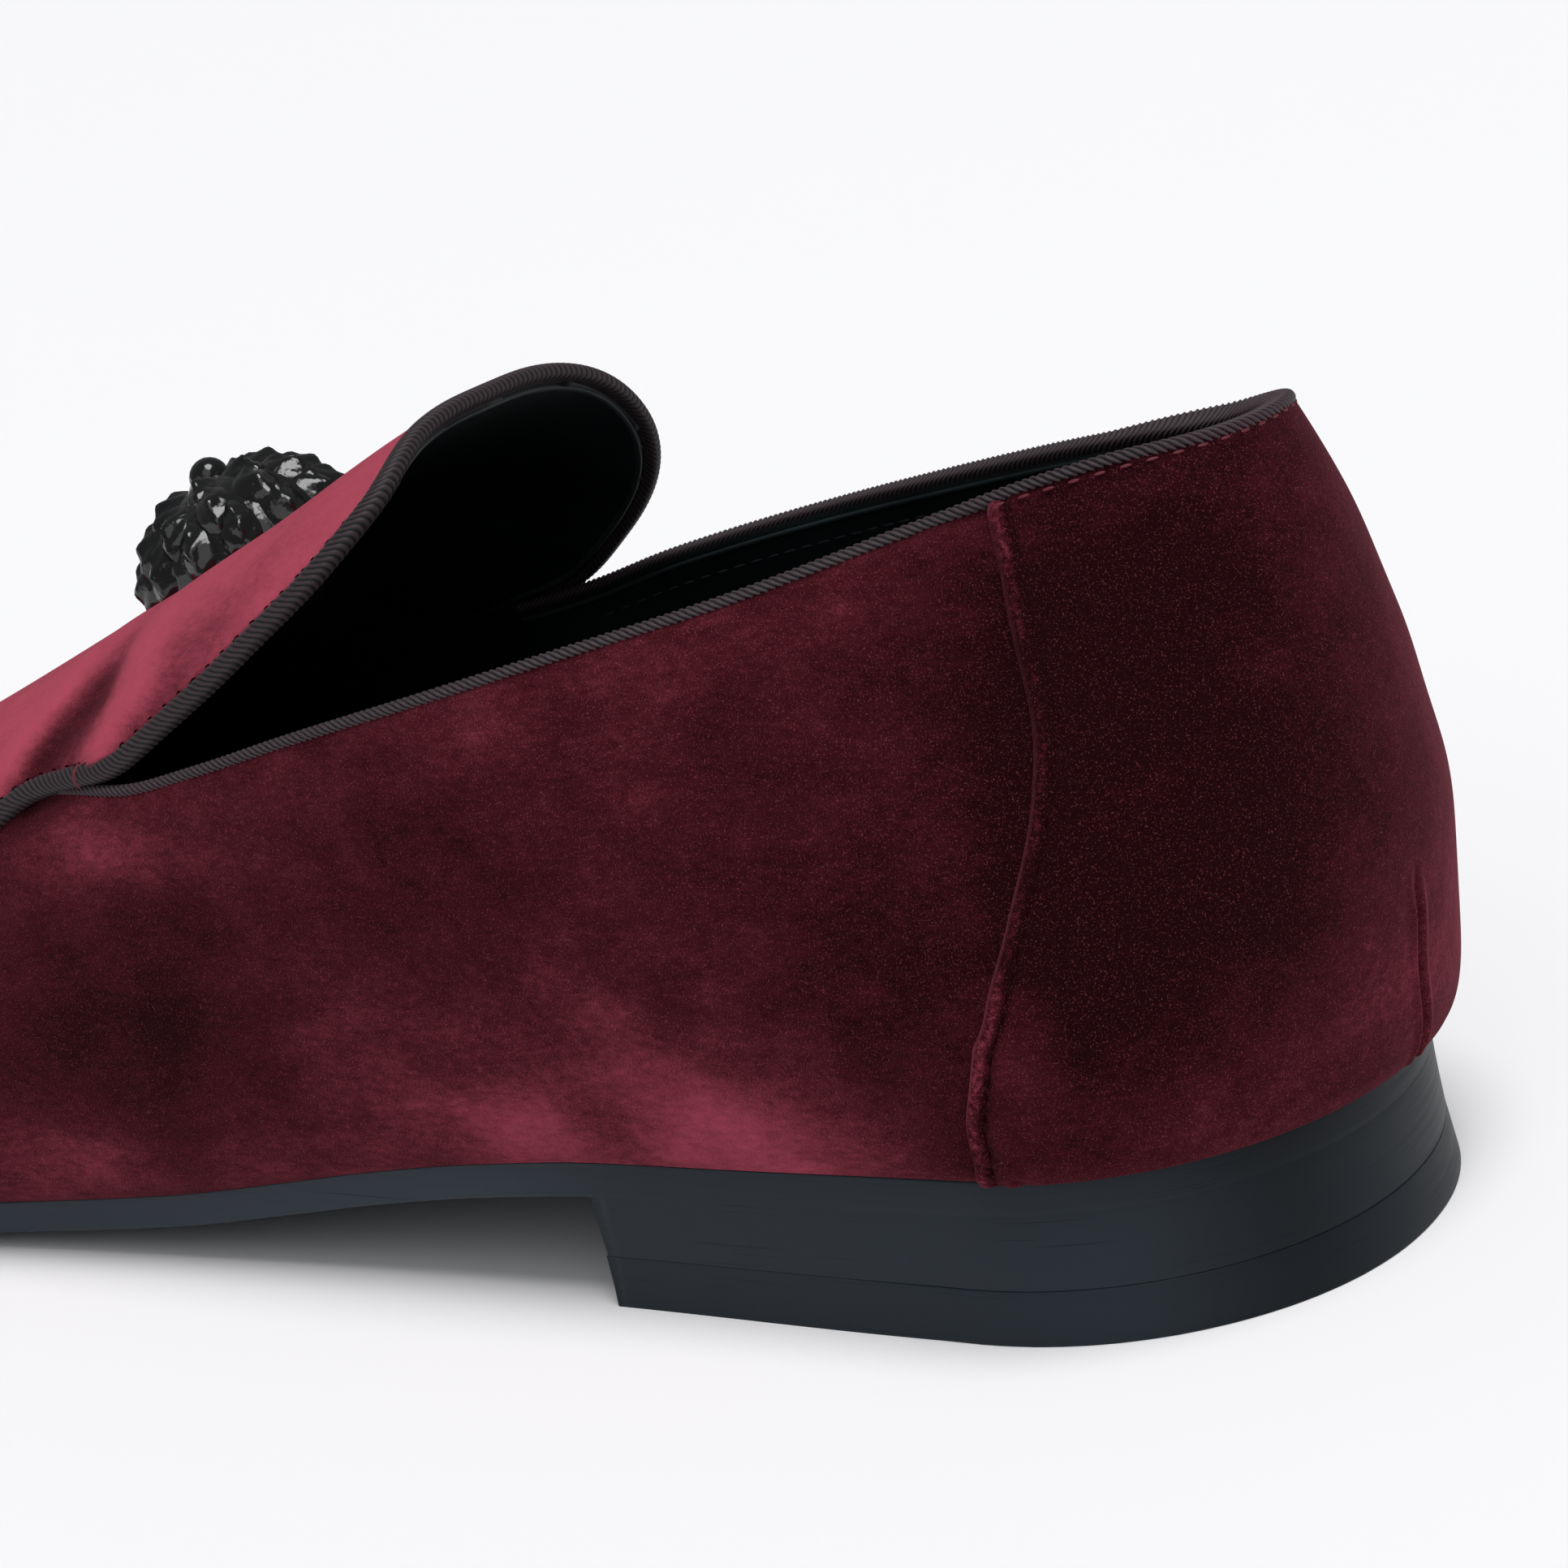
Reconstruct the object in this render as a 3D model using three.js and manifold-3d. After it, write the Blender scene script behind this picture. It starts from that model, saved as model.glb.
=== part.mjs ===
// A left velvet loafer with a bound topline, a high tongue, a raised heel counter and a low stacked heel.
// Millimetres. +Y runs from the heel to the toe, +Z is up and the outer side of the foot lies at -X.
// Heights and lengths in the tables start at the floor and at the back of the heel seat.

import * as THREE from "three";
import { ParametricGeometry } from "three/addons/geometries/ParametricGeometry.js";
import { mergeVertices } from "three/addons/utils/BufferGeometryUtils.js";
import Module from "manifold-3d";

// Driving sizes of the last
const LENGTH = 299;
const HEEL_CENTRE = 34;
const BALL_LINE = 205;
const SEAT_BACK = 2;
const HEEL_SWELL = 2.6;
const TOE_SWELL = 1.5;
const HEEL_ROUNDNESS = 2.1;
const TOE_ROUNDNESS = { outer: 2.05, inner: 2.45 };

// Thicknesses and fits
const GAP = 0.3;
const WALL = 1.8;
const VAMP_STEP = 0.7;
const COUNTER_PROUD = 1.1;
const BINDING_PROUD = 0.55;
const BINDING_INSIDE = 0.4;
const TOPLINE_BINDING_WIDTH = 1.5;
const VAMP_BINDING_WIDTH = 2.5;
const INSOLE_THICKNESS = 3;
const SOLE_THICKNESS = 3.6;
const TOP_LIFT_THICKNESS = 5.4;
const HEEL_LENGTH = 73.4;
const HEEL_FLARE = 1;
const HEEL_INSET = 0.4;

// One row per section of the last, with distances from the heel axis to the edges of the sole
const SECTIONS = [
  { y: 34, axis: 0, outer: 33, inner: 30.8, outerSwell: 3, innerSwell: 3, rise: 14, fullness: 1.3 },
  { y: 60, axis: 0.5, outer: 34, inner: 30.5, outerSwell: 3, innerSwell: 3.4, rise: 14, fullness: 1.8 },
  { y: 90, axis: 1.5, outer: 35, inner: 28, outerSwell: 3.2, innerSwell: 6, rise: 14, fullness: 2.65 },
  { y: 120, axis: 2.5, outer: 35.8, inner: 27, outerSwell: 3.8, innerSwell: 8, rise: 13, fullness: 2.8 },
  { y: 150, axis: 3.5, outer: 37.6, inner: 32, outerSwell: 4.2, innerSwell: 7, rise: 12, fullness: 2.5 },
  { y: 180, axis: 5, outer: 42, inner: 44, outerSwell: 3.6, innerSwell: 4.5, rise: 11, fullness: 2.4 },
  { y: 205, axis: 7, outer: 45.5, inner: 51, outerSwell: 3, innerSwell: 3, rise: 10, fullness: 2.5 },
];
const BACK_FULLNESS = 2.3;

// Height of the top of the last along the foot, and of the line where the upper meets the sole
const RIDGE = [
  { y: 0, z: 98.5 }, { y: 34, z: 96 }, { y: 60, z: 92 }, { y: 90, z: 85.8 }, { y: 120, z: 73 },
  { y: 150, z: 60.8 }, { y: 180, z: 49.4 }, { y: 205, z: 41 }, { y: 235, z: 34.4 }, { y: 265, z: 30 },
  { y: 300, z: 27 },
];
const SEAT = [
  { y: 0, z: 16.9 }, { y: 30, z: 16.6 }, { y: 54, z: 16.1 }, { y: 72, z: 15.8 }, { y: 88, z: 14.6 },
  { y: 101, z: 12.9 }, { y: 114, z: 10.7 }, { y: 128, z: 8.5 }, { y: 143, z: 7 }, { y: 158, z: 5.9 },
  { y: 174, z: 4.7 }, { y: 188, z: 4.1 }, { y: 200, z: 3.9 }, { y: 240, z: 3.9 }, { y: 270, z: 6 },
  { y: 300, z: 11 },
];

// Lines drawn on the sides of the shoe. Most differ on the outer and the inner side.
const TOPLINE = [
  { y: -30, outer: 79, inner: 79 }, { y: 7.4, outer: 78.8, inner: 78.8 },
  { y: 9.4, outer: 78.7, inner: 78.2 }, { y: 14, outer: 78.4, inner: 76.6 },
  { y: 18.7, outer: 77.6, inner: 75.2 }, { y: 30, outer: 75.1, inner: 73.5 },
  { y: 51, outer: 69.7, inner: 69.5 }, { y: 74, outer: 64.9, inner: 64.6 },
  { y: 99.7, outer: 59.2, inner: 58.7 }, { y: 113, outer: 55.9, inner: 54.9 },
  { y: 125, outer: 53.6, inner: 52.8 }, { y: 160, outer: 52.9, inner: 52.2 },
];
const VAMP_EDGE = [
  { z: 100, outer: 94, inner: 94 }, { z: 87, outer: 94, inner: 94 }, { z: 84, outer: 93, inner: 93.8 },
  { z: 82.4, outer: 91.6, inner: 93.4 }, { z: 80, outer: 91, inner: 93.1 },
  { z: 75.8, outer: 93.9, inner: 93.4 }, { z: 71.4, outer: 98.5, inner: 94.8 },
  { z: 67.3, outer: 104.2, inner: 97.4 }, { z: 63.2, outer: 110, inner: 101.4 },
  { z: 59.6, outer: 115.8, inner: 106 }, { z: 56.6, outer: 120.6, inner: 110 },
  { z: 54.2, outer: 124.8, inner: 114.4 }, { z: 52.8, outer: 132, inner: 119.4 },
  { z: 51.2, outer: 139, inner: 125 }, { z: 48.8, outer: 143.4, inner: 131 },
  { z: 44.4, outer: 148.2, inner: 137.4 }, { z: 38, outer: 153, inner: 143.6 },
  { z: 30, outer: 156.2, inner: 149 }, { z: 20, outer: 159.4, inner: 153.8 },
  { z: 9.6, outer: 161.8, inner: 157.8 }, { z: -4, outer: 163, inner: 160.4 },
];
const THROAT = { outer: 130, inner: 117 };
const COUNTER_SEAM = [
  { y: 29, z: 92 }, { y: 26.6, z: 75 }, { y: 24.6, z: 69.2 }, { y: 22.2, z: 62 }, { y: 20.5, z: 54 },
  { y: 21.1, z: 46.2 }, { y: 23.1, z: 38.6 }, { y: 25.6, z: 30.8 }, { y: 28, z: 22.6 }, { y: 29.2, z: 15 },
  { y: 30, z: 6 },
];

// The brooch on the vamp: a domed boss covered by rows of overlapping leaves
const BROOCH = { y: 135, across: 11.2, along: 13.4, height: 10, sink: 0.6, leafThickness: 1.7 };
const BROOCH_LEAVES = [
  { tilt: 0.22, count: 13, length: 4.4, width: 2.6, turn: 0 },
  { tilt: 0.62, count: 11, length: 4.2, width: 2.6, turn: 0.5 },
  { tilt: 1.02, count: 7, length: 3.8, width: 2.4, turn: 0 },
];
const BROOCH_BUD_RADIUS = 2.3;

// How finely the curved pieces are divided
const SLICES = 72;
const HEEL_SHARE = 0.22;
const SIDE_SHARE = 0.66;
const LINE_POINTS = 40;

const wasm = await Module();
wasm.setup();

// A smooth line through the rows of a table that never overshoots its values
function follow(table, column, y) {
  const secant = (i) => (table[i + 1][column] - table[i][column]) / (table[i + 1].y - table[i].y);
  const last = table.length - 1;
  const slope = (i) => {
    if (i === 0) {
      return secant(0);
    }
    if (i === last) {
      return secant(last - 1);
    }
    const before = secant(i - 1);
    const after = secant(i);
    return before * after > 0 ? (2 * before * after) / (before + after) : 0;
  };
  if (y <= table[0].y) {
    return table[0][column] + slope(0) * (y - table[0].y);
  }
  if (y >= table[last].y) {
    return table[last][column] + slope(last) * (y - table[last].y);
  }
  let i = 0;
  while (table[i + 1].y < y) {
    i += 1;
  }
  const span = table[i + 1].y - table[i].y;
  const t = (y - table[i].y) / span;
  const rest = 1 - t;
  return (1 + 2 * t) * rest * rest * table[i][column] + t * rest * rest * span * slope(i)
    + t * t * (3 - 2 * t) * table[i + 1][column] - t * t * rest * span * slope(i + 1);
}

const seat = (y) => follow(SEAT, "z", y);
const ridge = (y) => follow(RIDGE, "z", y);

// Reach of a rounded corner that starts beside the foot and ends straight behind or before it
function roundedReach(side, end, roundness, angle) {
  const across = Math.abs(Math.cos(angle)) / side;
  const along = Math.abs(Math.sin(angle)) / end;
  return (across ** roundness + along ** roundness) ** (-1 / roundness);
}

// Where a trip round the shoe stands: 0 is behind the heel, 0.5 the toe and 1 the heel again
function station(u) {
  const outer = u <= 0.5;
  const t = outer ? 2 * u : 2 - 2 * u;
  const sign = outer ? -1 : 1;
  const behind = Math.max(0, 1 - t / HEEL_SHARE) * Math.PI / 2;
  const before = Math.max(0, (t - SIDE_SHARE) / (1 - SIDE_SHARE)) * Math.PI / 2;
  const share = THREE.MathUtils.clamp((t - HEEL_SHARE) / (SIDE_SHARE - HEEL_SHARE), 0, 1);
  const y = HEEL_CENTRE + share * (BALL_LINE - HEEL_CENTRE);
  const row = (column) => follow(SECTIONS, column, y);
  const axis = row("axis");
  const side = outer ? row("outer") + axis : row("inner") - axis;
  const swell = outer ? row("outerSwell") : row("innerSwell");
  const reach = (extra) => {
    const grow = extra === "edge" ? 0 : 1;
    if (behind > 0) {
      return roundedReach(side + grow * swell, HEEL_CENTRE - SEAT_BACK + grow * HEEL_SWELL, HEEL_ROUNDNESS, behind);
    }
    const roundness = outer ? TOE_ROUNDNESS.outer : TOE_ROUNDNESS.inner;
    return roundedReach(side + grow * swell, LENGTH - BALL_LINE + grow * TOE_SWELL, roundness, before);
  };
  const backward = Math.sin(behind) ** 4;
  const fullness = THREE.MathUtils.lerp(row("fullness"), BACK_FULLNESS, backward);
  return {
    axis, y, rise: row("rise"), fullness, edge: reach("edge"), bulge: reach("bulge"),
    x: sign * Math.cos(behind + before), forward: Math.sin(before) - Math.sin(behind),
  };
}

// A point at a distance out from the axis of the foot, before its height is set
function planPoint(place, distance) {
  return { x: place.axis + place.x * distance, y: place.y + place.forward * distance };
}

// Reach of the last a little above the sole, where the upper swells out over its edge
function swollenReach(place, height) {
  return place.edge + (place.bulge - place.edge) * Math.sin(Math.acos(1 - height / place.rise));
}

// A closed solid from a function of the way round and the way up, with its doubled points joined
function solidFrom(geometry) {
  geometry.deleteAttribute("normal");
  geometry.deleteAttribute("uv");
  const joined = mergeVertices(geometry, 1e-4);
  const index = joined.index.array;
  const kept = [];
  for (let i = 0; i < index.length; i += 3) {
    const [a, b, c] = [index[i], index[i + 1], index[i + 2]];
    if (a !== b && b !== c && c !== a) {
      kept.push(a, b, c);
    }
  }
  const mesh = new wasm.Mesh({
    numProp: 3,
    vertProperties: new Float32Array(joined.attributes.position.array),
    triVerts: new Uint32Array(kept),
  });
  return new wasm.Manifold(mesh);
}

function ringSolid(rings, slices) {
  const place = new THREE.Vector3();
  const surface = (u, v, target) => {
    const ring = rings[Math.round(v * (rings.length - 1))];
    const point = ring(station(1 - u));
    target.copy(place.set(point.x, point.y, point.z));
  };
  return solidFrom(new ParametricGeometry(surface, slices, rings.length - 1));
}

// The last grown or shrunk by an offset. Its floor may lie lower so that a hollow opens underneath.
function form(offset, floorDrop = 0) {
  const floor = (place) => {
    const point = planPoint(place, 0);
    return { ...point, z: seat(point.y) - floorDrop };
  };
  const sunk = (place) => {
    const point = planPoint(place, place.edge + offset);
    return { ...point, z: seat(point.y) - floorDrop };
  };
  const low = (share) => (place) => {
    const angle = share * Math.PI / 2;
    const reach = place.edge + (place.bulge - place.edge) * Math.sin(angle) + offset;
    const point = planPoint(place, reach);
    return { ...point, z: seat(point.y) + place.rise * (1 - Math.cos(angle)) };
  };
  const high = (share) => (place) => {
    const angle = share * Math.PI / 2;
    const power = 2 / place.fullness;
    const reach = (place.bulge + offset) * Math.max(0, Math.cos(angle)) ** power;
    const point = planPoint(place, share === 1 ? 0 : reach);
    const base = seat(point.y) + place.rise;
    return { ...point, z: base + (ridge(point.y) + offset - base) * Math.sin(angle) ** power };
  };
  const floorRings = floorDrop > 0 ? [floor, sunk] : [floor];
  const lowRings = [0, 0.3, 0.62].map(low);
  const highRings = [0, 0.13, 0.26, 0.38, 0.5, 0.62, 0.74, 0.87, 1].map(high);
  return ringSolid([...floorRings, ...lowRings, ...highRings], SLICES);
}

// A flat-bottomed layer under or in the shoe. Each level gives its reach and height.
function layer(levels) {
  const fill = [0, 0.45, 0.78];
  const ring = (level, share) => (place) => {
    const point = planPoint(place, level.reach(place) * share);
    return { ...point, z: level.height(point.y) };
  };
  const bottom = levels[0];
  const top = levels[levels.length - 1];
  const rings = [
    ...fill.map((share) => ring(bottom, share)),
    ...levels.map((level) => ring(level, 1)),
    ...fill.map((share) => ring(top, share)).reverse(),
  ];
  return ringSolid(rings, SLICES);
}

// Turns a drawing on the side of the shoe, along and up, into a block across it
function sideBlock(points, from = -100, to = 100) {
  const shape = new THREE.Shape(points.map((point) => new THREE.Vector2(point.y, point.z)));
  const geometry = new THREE.ExtrudeGeometry(shape, { depth: to - from, bevelEnabled: false, steps: 1 });
  geometry.translate(0, 0, from);
  const along = new THREE.Vector3(0, 1, 0);
  const up = new THREE.Vector3(0, 0, 1);
  const across = new THREE.Vector3(1, 0, 0);
  geometry.applyMatrix4(new THREE.Matrix4().makeBasis(along, up, across));
  return solidFrom(geometry);
}

// A drawn line moved sideways, to the left of the way it runs
function movedLine(table, distance) {
  const curve = new THREE.SplineCurve(table.map((row) => new THREE.Vector2(row.y, row.z)));
  const points = [];
  for (let i = 0; i <= LINE_POINTS; i += 1) {
    const point = curve.getPointAt(i / LINE_POINTS);
    const way = curve.getTangentAt(i / LINE_POINTS);
    points.push({ y: point.x - way.y * distance, z: point.y + way.x * distance });
  }
  return points;
}

const FAR = 400;
const topLine = (side, drop) => movedLine(TOPLINE.map((row) => ({ y: row.y, z: row[side] })), -drop);
const vampLine = (side, advance) => movedLine(VAMP_EDGE.map((row) => ({ y: row[side], z: row.z })), advance);
const bothSides = (outline) => sideBlock(outline("outer"), -100, 0).add(sideBlock(outline("inner"), 0, 100));
const aboveTopline = (drop) => bothSides((side) => [
  ...topLine(side, drop), { y: FAR, z: FAR }, { y: -FAR, z: FAR },
]);
const beforeVampEdge = (advance) => bothSides((side) => [
  ...vampLine(side, advance), { y: FAR, z: -FAR }, { y: FAR, z: FAR }, { y: 60, z: FAR },
]);
const behindVampEdge = (advance) => bothSides((side) => [
  ...vampLine(side, advance), { y: 140, z: -FAR }, { y: -FAR, z: -FAR }, { y: -FAR, z: FAR }, { y: 60, z: FAR },
]);
const behindThroat = (advance) => bothSides((side) => {
  const end = THROAT[side] + advance;
  return [{ y: -FAR, z: -FAR }, { y: end, z: -FAR }, { y: end, z: FAR }, { y: -FAR, z: FAR }];
});
const behindCounterSeam = sideBlock([
  ...movedLine(COUNTER_SEAM, 0), { y: -FAR, z: 6 }, { y: -FAR, z: 92 },
]);

// The upper: quarters and vamp in one hollow, the vamp standing a step proud of the quarters
function makeUpper() {
  const vamp = form(VAMP_STEP).intersect(beforeVampEdge(VAMP_BINDING_WIDTH + GAP));
  const opening = aboveTopline(TOPLINE_BINDING_WIDTH + GAP)
    .intersect(behindVampEdge(VAMP_BINDING_WIDTH + GAP)).intersect(behindThroat(GAP));
  return form(0).add(vamp).subtract(form(-WALL, 3)).subtract(opening);
}

// The band sewn over the edge of the quarters, from one side of the throat round the heel to the other
function makeToplineBinding() {
  const band = form(BINDING_PROUD).subtract(form(-WALL - BINDING_INSIDE, 3));
  return band.intersect(aboveTopline(TOPLINE_BINDING_WIDTH))
    .subtract(aboveTopline(0)).intersect(behindVampEdge(-GAP)).intersect(behindThroat(0));
}

// The wider band round the tongue, which runs on down the side over the edge of the vamp
function makeVampBinding() {
  const strip = beforeVampEdge(0).subtract(beforeVampEdge(VAMP_BINDING_WIDTH));
  const outer = form(VAMP_STEP + BINDING_PROUD);
  const tongueEdge = outer.subtract(form(-WALL - BINDING_INSIDE, 3))
    .intersect(strip).intersect(aboveTopline(TOPLINE_BINDING_WIDTH)).intersect(behindThroat(0));
  const sideEdge = outer.subtract(form(GAP, 3)).intersect(strip);
  return tongueEdge.add(sideEdge);
}

// The back panel laid over both quarters
function makeCounter() {
  return form(COUNTER_PROUD).subtract(form(GAP, 3)).intersect(behindCounterSeam)
    .subtract(aboveTopline(TOPLINE_BINDING_WIDTH + GAP));
}

function makeOutsole() {
  const bevel = 0.5;
  const under = (y) => seat(y) - GAP - SOLE_THICKNESS;
  const over = (y) => seat(y) - GAP;
  return layer([
    { reach: (place) => place.edge - bevel, height: under },
    { reach: (place) => place.edge + 0.2, height: (y) => under(y) + bevel },
    { reach: (place) => place.edge + 0.2, height: (y) => over(y) - bevel },
    { reach: (place) => place.edge - bevel, height: over },
  ]);
}

// A layer of the heel between two heights, cut off square at its breast
function makeHeelLayer(low, high) {
  const flare = (z) => HEEL_FLARE * (1 - z / seat(0)) - HEEL_INSET;
  const block = layer([
    { reach: (place) => place.edge + flare(low(0)), height: low },
    { reach: (place) => place.edge + flare(high(0)), height: high },
  ]);
  const breast = new THREE.BoxGeometry(200, 400, 100);
  breast.translate(0, HEEL_LENGTH - 200, 0);
  return block.intersect(solidFrom(breast));
}

function makeInsole() {
  const slack = WALL + 2 * GAP;
  return layer([
    { reach: (place) => place.edge - slack, height: (y) => seat(y) + GAP / 2 },
    { reach: (place) => swollenReach(place, INSOLE_THICKNESS) - slack, height: (y) => seat(y) + INSOLE_THICKNESS },
  ]);
}

// The brooch, its underside following the vamp it is pinned to
function makeBrooch() {
  const dome = new THREE.SphereGeometry(1, 20, 10);
  dome.rotateX(Math.PI / 2);
  dome.scale(BROOCH.across, BROOCH.along, BROOCH.height);
  let brooch = solidFrom(dome);
  for (const row of BROOCH_LEAVES) {
    for (let i = 0; i < row.count; i += 1) {
      const turn = ((i + row.turn) / row.count) * Math.PI * 2;
      const leaf = new THREE.OctahedronGeometry(1);
      leaf.scale(row.width, row.length, BROOCH.leafThickness);
      const out = new THREE.Vector3(Math.cos(turn) * Math.cos(row.tilt), Math.sin(turn) * Math.cos(row.tilt),
        Math.sin(row.tilt));
      const across = new THREE.Vector3(-Math.sin(turn), Math.cos(turn), 0);
      const up = new THREE.Vector3().crossVectors(out, across);
      const place = new THREE.Matrix4().makeBasis(across, up, out);
      place.setPosition(out.x * BROOCH.across, out.y * BROOCH.along, out.z * BROOCH.height);
      leaf.applyMatrix4(place);
      brooch = brooch.add(solidFrom(leaf));
    }
  }
  const bud = new THREE.IcosahedronGeometry(BROOCH_BUD_RADIUS, 1);
  bud.translate(0, 0, BROOCH.height);
  brooch = brooch.add(solidFrom(bud));
  const step = 1;
  const slope = Math.atan2(ridge(BROOCH.y + step) - ridge(BROOCH.y - step), 2 * step);
  const place = new THREE.Matrix4().makeRotationX(slope);
  place.setPosition(follow(SECTIONS, "axis", BROOCH.y), BROOCH.y, ridge(BROOCH.y) + VAMP_STEP - BROOCH.sink);
  return brooch.transform(place.elements).subtract(form(VAMP_STEP + GAP, 3));
}

// Surfaces of the pieces
const VELVET = { color: 0x4a1420, roughness: 0.95, metalness: 0 };
const GROSGRAIN = { color: 0x2f2a2e, roughness: 0.85, metalness: 0 };
const LEATHER = { color: 0x101314, roughness: 0.6, metalness: 0 };
const HEEL_BLACK = { color: 0x24292c, roughness: 0.45, metalness: 0 };
const JET = { color: 0x0c0d0f, roughness: 0.15, metalness: 0.3 };

const underSole = (y) => seat(y) - 2 * GAP - SOLE_THICKNESS;
const PIECES = [
  { name: "outsole", solid: makeOutsole(), surface: HEEL_BLACK },
  { name: "heel_block", solid: makeHeelLayer(() => TOP_LIFT_THICKNESS + GAP, underSole), surface: HEEL_BLACK },
  { name: "top_lift", solid: makeHeelLayer(() => 0, () => TOP_LIFT_THICKNESS), surface: HEEL_BLACK },
  { name: "insole", solid: makeInsole(), surface: LEATHER },
  { name: "upper", solid: makeUpper(), surface: VELVET },
  { name: "counter", solid: makeCounter(), surface: VELVET },
  { name: "topline_binding", solid: makeToplineBinding(), surface: GROSGRAIN },
  { name: "vamp_binding", solid: makeVampBinding(), surface: GROSGRAIN },
  { name: "brooch", solid: makeBrooch(), surface: JET },
];

// A named mesh from a finished solid
function meshOf(piece) {
  const made = piece.solid.getMesh();
  const geometry = new THREE.BufferGeometry();
  geometry.setAttribute("position", new THREE.BufferAttribute(new Float32Array(made.vertProperties), 3));
  geometry.setIndex(new THREE.BufferAttribute(new Uint32Array(made.triVerts), 1));
  geometry.computeVertexNormals();
  const mesh = new THREE.Mesh(geometry, new THREE.MeshStandardMaterial(piece.surface));
  mesh.name = piece.name;
  return mesh;
}

const loafer = new THREE.Group();
loafer.name = "loafer";
for (const piece of PIECES) {
  loafer.add(meshOf(piece));
}

// The middle of the shoe on the floor becomes the origin
const box = new THREE.Box3().setFromObject(loafer);
const middle = box.getCenter(new THREE.Vector3());
for (const mesh of loafer.children) {
  mesh.geometry.translate(-middle.x, -middle.y, 0);
}

export default loafer;
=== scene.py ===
"""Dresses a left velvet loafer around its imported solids: skins, linings, bindings, seams, heel and brooch."""

import logging
import math
from collections.abc import Callable, Iterable
from dataclasses import dataclass, replace
from enum import Enum
from functools import cached_property
from typing import NamedTuple

import bmesh
import bpy
import numpy as np
from mathutils import Matrix, Vector


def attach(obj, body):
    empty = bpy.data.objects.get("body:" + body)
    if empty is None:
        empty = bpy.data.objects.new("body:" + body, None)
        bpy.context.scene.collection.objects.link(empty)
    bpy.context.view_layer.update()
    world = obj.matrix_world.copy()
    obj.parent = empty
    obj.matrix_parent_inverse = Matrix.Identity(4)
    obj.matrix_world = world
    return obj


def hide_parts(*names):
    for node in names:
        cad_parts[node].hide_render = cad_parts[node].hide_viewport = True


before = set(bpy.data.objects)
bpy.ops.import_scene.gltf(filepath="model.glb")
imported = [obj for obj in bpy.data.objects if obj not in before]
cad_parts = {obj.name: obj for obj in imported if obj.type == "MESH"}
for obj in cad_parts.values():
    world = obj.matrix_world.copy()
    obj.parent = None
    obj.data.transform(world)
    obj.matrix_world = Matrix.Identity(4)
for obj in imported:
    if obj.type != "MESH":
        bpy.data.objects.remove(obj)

log = logging.getLogger("loafer")

MM = 0.001
BODY = "root"
HALVINGS = 44

Span = tuple[float, float]


class Side(Enum):
    """The two sides of the foot, with the sign of their ways round the shoe."""

    OUTER = -1
    INNER = 1


class Section(NamedTuple):
    """One section of the last, with distances from the heel axis to the edges of the sole."""

    y: float
    axis: float
    outer: float
    inner: float
    outer_swell: float
    inner_swell: float
    rise: float
    fullness: float


class EdgeRow(NamedTuple):
    """How far forward the edge of the vamp lies at one height, on each side."""

    z: float
    outer: float
    inner: float


@dataclass(frozen=True)
class Line:
    """A smooth line through the rows of a table that never overshoots its values."""

    rows: tuple[tuple[float, float], ...]

    @cached_property
    def places(self) -> np.ndarray:
        """Where the rows stand, in rising order."""
        return np.array([row[0] for row in self.rows], float)

    @cached_property
    def values(self) -> np.ndarray:
        """What the rows say."""
        return np.array([row[1] for row in self.rows], float)

    @cached_property
    def slopes(self) -> np.ndarray:
        """The line's slope at each row, flat where the table turns.

        Returns:
            One slope for each row.
        """
        secants = np.diff(self.values) / np.diff(self.places)
        before, after = secants[:-1], secants[1:]
        same = before * after > 0
        middle = np.where(same, 2 * before * after / np.where(same, before + after, 1), 0)
        return np.concatenate(([secants[0]], middle, [secants[-1]]))

    def __call__(self, place: np.ndarray | float) -> np.ndarray:
        """Reads the line.

        Args:
            place: Where to read it. Beyond its ends the line runs on straight.

        Returns:
            The line's values there.
        """
        place = np.asarray(place, float)
        i = np.clip(np.searchsorted(self.places, place) - 1, 0, len(self.places) - 2)
        span = self.places[i + 1] - self.places[i]
        share = (place - self.places[i]) / span
        t = np.clip(share, 0, 1)
        rest = 1 - t
        inside = (
            (1 + 2 * t) * rest**2 * self.values[i]
            + t * rest**2 * span * self.slopes[i]
            + t**2 * (3 - 2 * t) * self.values[i + 1]
            - t**2 * rest * span * self.slopes[i + 1]
        )
        end_slope = np.where(share < 0, self.slopes[0], self.slopes[-1])
        return inside + (share - t) * span * end_slope


def crossing(rising: Callable[[np.ndarray], np.ndarray], low: np.ndarray, high: np.ndarray) -> np.ndarray:
    """Finds where a rising function passes zero, by halving.

    Args:
        rising: The function, which takes and gives arrays.
        low: Where the search starts.
        high: Where it ends.

    Returns:
        The places where the function is zero.
    """
    for _ in range(HALVINGS):
        middle = (low + high) / 2
        past = rising(middle) > 0
        high = np.where(past, middle, high)
        low = np.where(past, low, middle)
    return (low + high) / 2


def bump(distance: np.ndarray, width: float) -> np.ndarray:
    """A soft hump of height 1 with the given half width."""
    return np.exp(-((distance / width) ** 2))


def ease(value: np.ndarray, start: float, end: float) -> np.ndarray:
    """Rises smoothly from 0 at the start to 1 at the end."""
    t = np.clip((value - start) / (end - start), 0, 1)
    return t * t * (3 - 2 * t)


class Place(NamedTuple):
    """Where a trip round the shoe stands, as arrays."""

    axis: np.ndarray
    y: np.ndarray
    rise: np.ndarray
    fullness: np.ndarray
    edge: np.ndarray
    bulge: np.ndarray
    sideways: np.ndarray
    forward: np.ndarray


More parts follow.
